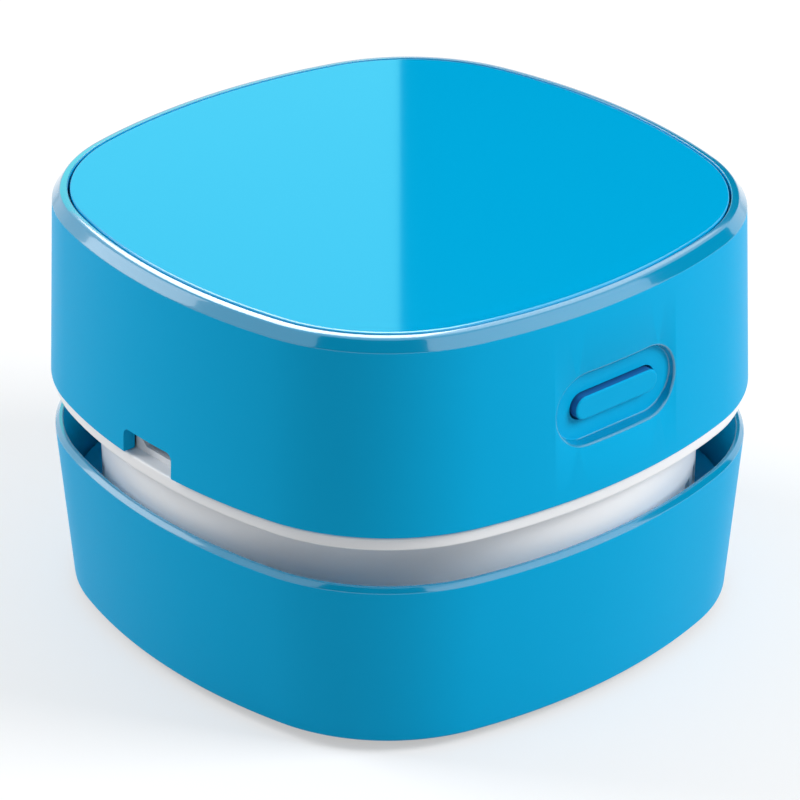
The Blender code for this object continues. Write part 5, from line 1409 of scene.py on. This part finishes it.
# %% The bristle tree
FILAMENT_RADIUS = 0.0001
FILAMENT_GAP = 0.00026
FILAMENT_LEAN = 0.1
FILAMENT_SIDES = 5
FILAMENT_LENGTH = 0.002
MOST_PER_AREA = 3.0e7
SHORTEST_SHARE = 0.9

bristle_tree = new_tree("bristles_on_a_strip")
given = sockets_of(
    bristle_tree,
    ("Length", "NodeSocketFloat", FILAMENT_LENGTH),
    ("Radius", "NodeSocketFloat", FILAMENT_RADIUS),
    ("Spacing", "NodeSocketFloat", FILAMENT_GAP),
    ("Lean", "NodeSocketFloat", FILAMENT_LEAN),
    ("Sides", "NodeSocketInt", FILAMENT_SIDES),
    ("Seed", "NodeSocketInt", 7),
    ("Material", "NodeSocketMaterial", None),
)
scatter = add(
    bristle_tree,
    "GeometryNodeDistributePointsOnFaces",
    {"distribute_method": "POISSON"},
    Mesh=given["Geometry"],
    Distance_Min=given["Spacing"],
    Density_Max=MOST_PER_AREA,
    Seed=given["Seed"],
)
tip = maths(bristle_tree, "MULTIPLY", given["Radius"], 0.5)
filament = add(
    bristle_tree,
    "GeometryNodeMeshCone",
    Vertices=given["Sides"],
    Radius_Top=tip,
    Radius_Bottom=given["Radius"],
    Depth=given["Length"],
)
less = maths(bristle_tree, "MULTIPLY", given["Lean"], -1.0)
down = maths(bristle_tree, "ADD", math.pi, given["Lean"])
down_less = maths(bristle_tree, "ADD", math.pi, less)
low_turn = add(bristle_tree, "ShaderNodeCombineXYZ", X=down_less, Y=less)
high_turn = add(bristle_tree, "ShaderNodeCombineXYZ", X=down, Y=given["Lean"], Z=math.pi)
short, full = (1, 1, SHORTEST_SHARE), (1, 1, 1)
seed = given["Seed"]
lean = add(bristle_tree, "FunctionNodeRandomValue", as_vector, Min=low_turn, Max=high_turn, Seed=seed)
grow = add(bristle_tree, "FunctionNodeRandomValue", as_vector, Min=short, Max=full, Seed=seed)
tuft = add(
    bristle_tree,
    "GeometryNodeInstanceOnPoints",
    Points=scatter,
    Instance=filament,
    Rotation=lean,
    Scale=grow,
)
end_tree(bristle_tree, tuft, given["Material"])

# %% [markdown]
# Nylon filament is smooth and slightly clear, so it is darker than the
# backing and has a brighter edge.

# %% Brush strips
filament_nylon = moulded("drawn_nylon_filament", "26292C", 0.3, grain=0.0006, bump=0.05, ior=1.53)
BACKING_LOW = BOTTOM + GAP / 2
BRISTLE_SUNK = 0.0001
BRISTLE_ROOT = BACKING_LOW + BRISTLE_SUNK
BRISTLE_MARGIN = 0.0002
BRUSH_INNER, BRUSH_OUTER = BRUSH_RADIUS - BRUSH_HALF, BRUSH_RADIUS + BRUSH_HALF


def joined(name, pieces):
    """Joins pieces into one mesh, keeping their materials."""
    shape = bmesh.new()
    materials = []
    for piece in pieces:
        start = len(shape.faces)
        shape.from_mesh(piece.data)
        shape.faces.ensure_lookup_table()
        for face in shape.faces[start:]:
            face.material_index = len(materials)
        materials.append(piece.data.materials[0])
        bpy.data.objects.remove(piece)
    mesh = bpy.data.meshes.new(name)
    shape.to_mesh(mesh)
    shape.free()
    for material in materials:
        mesh.materials.append(material)
    made = bpy.data.objects.new(name, mesh)
    bpy.context.scene.collection.objects.link(made)
    return made


for number, side in enumerate(("right", "rear", "left", "front")):
    node = f"brush_strip_{side}"
    brush_low, brush_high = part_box(node)
    backing = arc_band(BRUSH_INNER, BRUSH_OUTER, BACKING_LOW, brush_high.z, BRUSH_SPAN, BRUSH_STEPS)
    backing.data.materials.append(black_nylon)
    inner, outer = BRUSH_INNER + BRISTLE_MARGIN, BRUSH_OUTER - BRISTLE_MARGIN
    bed = arc_band(inner, outer, BRISTLE_ROOT, BRISTLE_ROOT, BRUSH_SPAN - 1, BRUSH_STEPS)
    modifier = bed.modifiers.new("bristles", "NODES")
    modifier.node_group = bristle_tree
    set_inputs(modifier, length=BRISTLE_ROOT - brush_low.z, seed=number + 1, material=filament_nylon)
    bristles = frozen(bed, "bristles", filament_nylon)
    strip = joined(f"bristles_{side}", [backing, bristles])
    spun(strip, 90 * number)
    dressed(strip, "base", node, slot="black_nylon")

# %% [markdown]
# Under the fan a white cover closes the barrel, with the eye that the air
# goes up through and a spigot that the filter basket pushes on to. The
# impeller above it is a disc with nine swept blades, copied by the tree.

# %% Fan cover and impeller
EYE_RADIUS = 0.014
EYE_ROUND = 0.0005
SPIGOT_RADIUS = 0.0225
SPIGOT_WALL = 0.0016
COVER_RADIUS = BORE - GAP
fan_cover = turned(
    "fan_cover_moulding",
    rounded(
        [
            (COVER_RADIUS, FAN_COVER_BOTTOM, FINE_EDGE),
            (COVER_RADIUS, FAN_COVER_TOP, FINE_EDGE),
            (EYE_RADIUS, FAN_COVER_TOP, EYE_ROUND),
            (EYE_RADIUS, FAN_COVER_BOTTOM, EYE_ROUND),
            (SPIGOT_RADIUS - SPIGOT_WALL, FAN_COVER_BOTTOM, FINE_EDGE),
            (SPIGOT_RADIUS - SPIGOT_WALL, cover_low.z, FINE_EDGE),
            (SPIGOT_RADIUS, cover_low.z, SOFT_EDGE),
            (SPIGOT_RADIUS, FAN_COVER_BOTTOM, FINE_EDGE),
        ],
        loop=True,
    ),
    white_abs,
    BARREL_SIDES,
    loop=True,
)
low, high = cover_low.z, FAN_COVER_TOP + OVER
holes = [rod(PILOT_RADIUS, low, high, *around(FAN_POST_CIRCLE, at)) for at in FAN_POSTS]
fan_cover = combined(fan_cover, holes, "DIFFERENCE")
dressed(fan_cover, "upper", "fan_cover", slot="white_abs")

rotor_low, rotor_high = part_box("impeller")
IMPELLER_RADIUS = 0.026
DISC_TOP = rotor_high.z
DISC_THICKNESS = 0.0012
DISC_BOTTOM = DISC_TOP - DISC_THICKNESS
HUB_RADIUS = 0.0035
HUB_EDGE = 0.0006
HUB_FILLET = 0.001
HUB_BOTTOM = DISC_BOTTOM - HUB_RADIUS
SHAFT_HOLE = 0.0013
BLADES = 9
BLADE_ROOT = 0.009
BLADE_THICKNESS = 0.001
BLADE_SWEEP = math.radians(55)
BLADE_STEPS = 16
impeller = turned(
    "impeller_moulding",
    rounded(
        [
            (SHAFT_HOLE, HUB_BOTTOM, FINE_EDGE),
            (HUB_RADIUS, HUB_BOTTOM, HUB_EDGE),
            (HUB_RADIUS, DISC_BOTTOM, HUB_FILLET),
            (IMPELLER_RADIUS, DISC_BOTTOM, FINE_EDGE),
            (IMPELLER_RADIUS, DISC_TOP, SOFT_EDGE),
            (SHAFT_HOLE, DISC_TOP, FINE_EDGE),
        ],
        loop=True,
    ),
    white_abs,
    ROUND_SIDES,
    loop=True,
)
middle = []
for i in range(BLADE_STEPS + 1):
    share = i / BLADE_STEPS
    radius = BLADE_ROOT + (IMPELLER_RADIUS - BLADE_THICKNESS - BLADE_ROOT) * share
    a = BLADE_SWEEP * share
    middle.append(Vector((radius * math.cos(a), -radius * math.sin(a), 0)))
near_side, far_side = [], []
for i, point in enumerate(middle):
    along = middle[min(i + 1, BLADE_STEPS)] - middle[max(i - 1, 0)]
    across = Vector((-along.y, along.x, 0)).normalized() * BLADE_THICKNESS / 2
    near_side.append(point + across)
    far_side.append(point - across)
ring = near_side + far_side[::-1]
blade_ends = (rotor_low.z, DISC_BOTTOM + OVER)
blade_item = loft("blade", [[point + Vector((0, 0, z)) for point in ring] for z in blade_ends])
blades = copies("blades", blade_item, ring_of([360 * i / BLADES for i in range(BLADES)]))
impeller = combined(impeller, [blades], "UNION")
dressed(impeller, "rotor", "impeller", slot="white_abs")

# %% [markdown]
# The filter basket pulls off the spigot for washing. Its floor has eight
# windows between spokes, all cut by one cutter copied round, and a felt
# pad with quilted rings lies on the spokes.

# %% Filter basket and pad
basket_low, basket_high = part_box("filter_frame")
BASKET_WALL = 0.0012
BASKET_EDGE = 0.0006
BASKET_BORE = SPIGOT_RADIUS + GAP
BASKET_RADIUS = BASKET_BORE + BASKET_WALL
BASKET_FLOOR = basket_low.z + BASKET_WALL
SPOKES = 8
SPOKE_WIDTH = 0.002
BASKET_HUB = 0.005
BASKET_RIM = 0.0025
WINDOW_STEPS = 8
basket = turned(
    "filter_basket",
    rounded(
        [
            (BASKET_HUB / 2, BASKET_FLOOR, 0),
            (BASKET_BORE, BASKET_FLOOR, FINE_EDGE),
            (BASKET_BORE, basket_high.z, SOFT_EDGE),
            (BASKET_RADIUS, basket_high.z, SOFT_EDGE),
            (BASKET_RADIUS, basket_low.z, BASKET_EDGE),
            (BASKET_HUB / 2, basket_low.z, 0),
        ]
    ),
    grey_abs,
    BARREL_SIDES,
)
window_span = 360 / SPOKES - math.degrees(SPOKE_WIDTH / BASKET_HUB)
low, high = basket_low.z - OVER, BASKET_FLOOR + OVER
window_item = arc_band(BASKET_HUB, BASKET_BORE - BASKET_RIM, low, high, window_span, WINDOW_STEPS)
windows = copies("windows", window_item, ring_of([360 * i / SPOKES for i in range(SPOKES)]))
basket = combined(basket, [windows], "DIFFERENCE")
dressed(basket, "filter", "filter_frame", slot="grey_abs")

pad_low, pad_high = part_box("filter_pad")
PAD_RADIUS = pad_high.x
PAD_RINGS = 5
PAD_STEPS = 8 * PAD_RINGS
PAD_BORDER = 0.001
QUILT_BORDER = 0.0015
QUILT_DEPTH = 0.00025
profile = [(PAD_RADIUS / 50, pad_low.z)]
profile += rounded(
    [
        (PAD_RADIUS / 2, pad_low.z, 0),
        (PAD_RADIUS, pad_low.z, SOFT_EDGE),
        (PAD_RADIUS, pad_high.z, SOFT_EDGE),
        (PAD_RADIUS - PAD_BORDER, pad_high.z, 0),
    ]
)
for i in range(PAD_STEPS):
    share = 1 - i / PAD_STEPS
    swell = abs(math.sin(math.pi * share * PAD_RINGS))
    profile.append((share * (PAD_RADIUS - QUILT_BORDER), pad_high.z - QUILT_DEPTH * (1 - swell)))
felt_pad = turned("felt_pad", profile, felt, BARREL_SIDES)
dressed(felt_pad, "filter", "filter_pad", slot="filter_felt")

# %% [markdown]
# One pan-headed thread-forming screw is used everywhere. Its head is
# domed, with a cross recess, and its shank carries a thread. One screw of
# each length is made and the tree lays the copies, each on its seat.


# %% Screws
SHANK_RADIUS = 0.001
THREAD_DEPTH = 0.00018
THREAD_PITCH = 0.0006
CROSS_HALF = 0.00022
CROSS_DEPTH = 0.0005
DOME_STEPS = 8
DOME_WIDTH_SHARE = 0.8
DOME_HEIGHT_SHARE = 0.75
SCREW_SIDES = 48


def screw_item(length):
    """A screw with its head's seat at height zero and its shank pointing up."""
    profile = [(SHANK_RADIUS / 4, length), (SHANK_RADIUS - THREAD_DEPTH, length - SHANK_RADIUS)]
    turns = int((length - 2 * SHANK_RADIUS) / THREAD_PITCH)
    for i in range(turns):
        height = length - SHANK_RADIUS - THREAD_PITCH * i
        profile.append((SHANK_RADIUS, height - THREAD_PITCH / 2))
        profile.append((SHANK_RADIUS - THREAD_DEPTH, height - THREAD_PITCH))
    profile.append((SHANK_RADIUS - THREAD_DEPTH, 0))
    profile.append((HEAD_RADIUS, 0))
    for less_sine, less_cosine in quarter_turn(DOME_STEPS):
        radius = HEAD_RADIUS * (1 - DOME_WIDTH_SHARE * less_cosine)
        profile.append((radius, -HEAD_HEIGHT * (1 - DOME_HEIGHT_SHARE * less_sine)))
    head = turned("screw", profile, None, SCREW_SIDES)
    arms = []
    for a, b in ((CROSS_HALF, SHANK_RADIUS), (SHANK_RADIUS, CROSS_HALF)):
        arms.append(box("arm", -a, a, -b, b, -HEAD_HEIGHT - OVER, CROSS_DEPTH - HEAD_HEIGHT))
    return combined(head, arms, "DIFFERENCE")


UP, DOWN, FORWARD = (0, 0, 0), (math.pi, 0, 0), (math.pi / 2, 0, 0)


def screws(name, body, count, turn=UP):
    """Lays a screw in the place of each node of that name, measured from the nodes' boxes."""
    nodes = [f"{name}_{i + 1}" for i in range(count)]
    places = []
    for node in nodes:
        low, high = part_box(node)
        centre = (low + high) / 2
        length = max(high - low) - HEAD_HEIGHT
        seats = {
            UP: (centre.x, centre.y, low.z + HEAD_HEIGHT),
            DOWN: (centre.x, centre.y, high.z - HEAD_HEIGHT),
            FORWARD: (centre.x, high.y - HEAD_HEIGHT, centre.z),
        }
        places.append((seats[turn], turn))
    made = copies(name + "s", screw_item(length), places, plated_steel)
    return dressed(made, body, *nodes, slot="steel")


screws("base_screw", "base", 4)
screws("housing_screw", "upper", 4)
screws("fan_cover_screw", "upper", 3)
screws("clamp_screw", "upper", 2, DOWN)
screws("board_screw", "upper", 2, DOWN)
screws("holder_screw", "upper", 2, DOWN)
screws("switch_screw", "upper", 2, FORWARD)

# %% [markdown]
# The rest sits inside the closed upper half, and its solids already have
# the right shape: the motor, the switch, the cell and its cradle, the
# boards and the leads. They keep their shape and get their real finishes.

# %% Finishes for the pieces inside
inside = {
    black_nylon: ("switch_body", "motor_end_cap", "cell_holder"),
    white_abs: ("switch_plunger",),
    mask_green: ("switch_board", "control_board"),
    plated_steel: ("motor_can", "motor_armature", "motor_shaft", "motor_clamp"),
    brass: ("motor_terminal_rear", "motor_terminal_front"),
    sleeve_blue: ("battery_cell",),
    red_pvc: ("motor_lead_red", "battery_lead_red", "switch_lead_red"),
    black_pvc: ("motor_lead_black", "battery_lead_black", "switch_lead_black"),
}
for material, names in inside.items():
    for name in names:
        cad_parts[name].data.materials.clear()
        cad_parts[name].data.materials.append(material)
print("kept nodes", sum(len(names) for names in inside.values()))
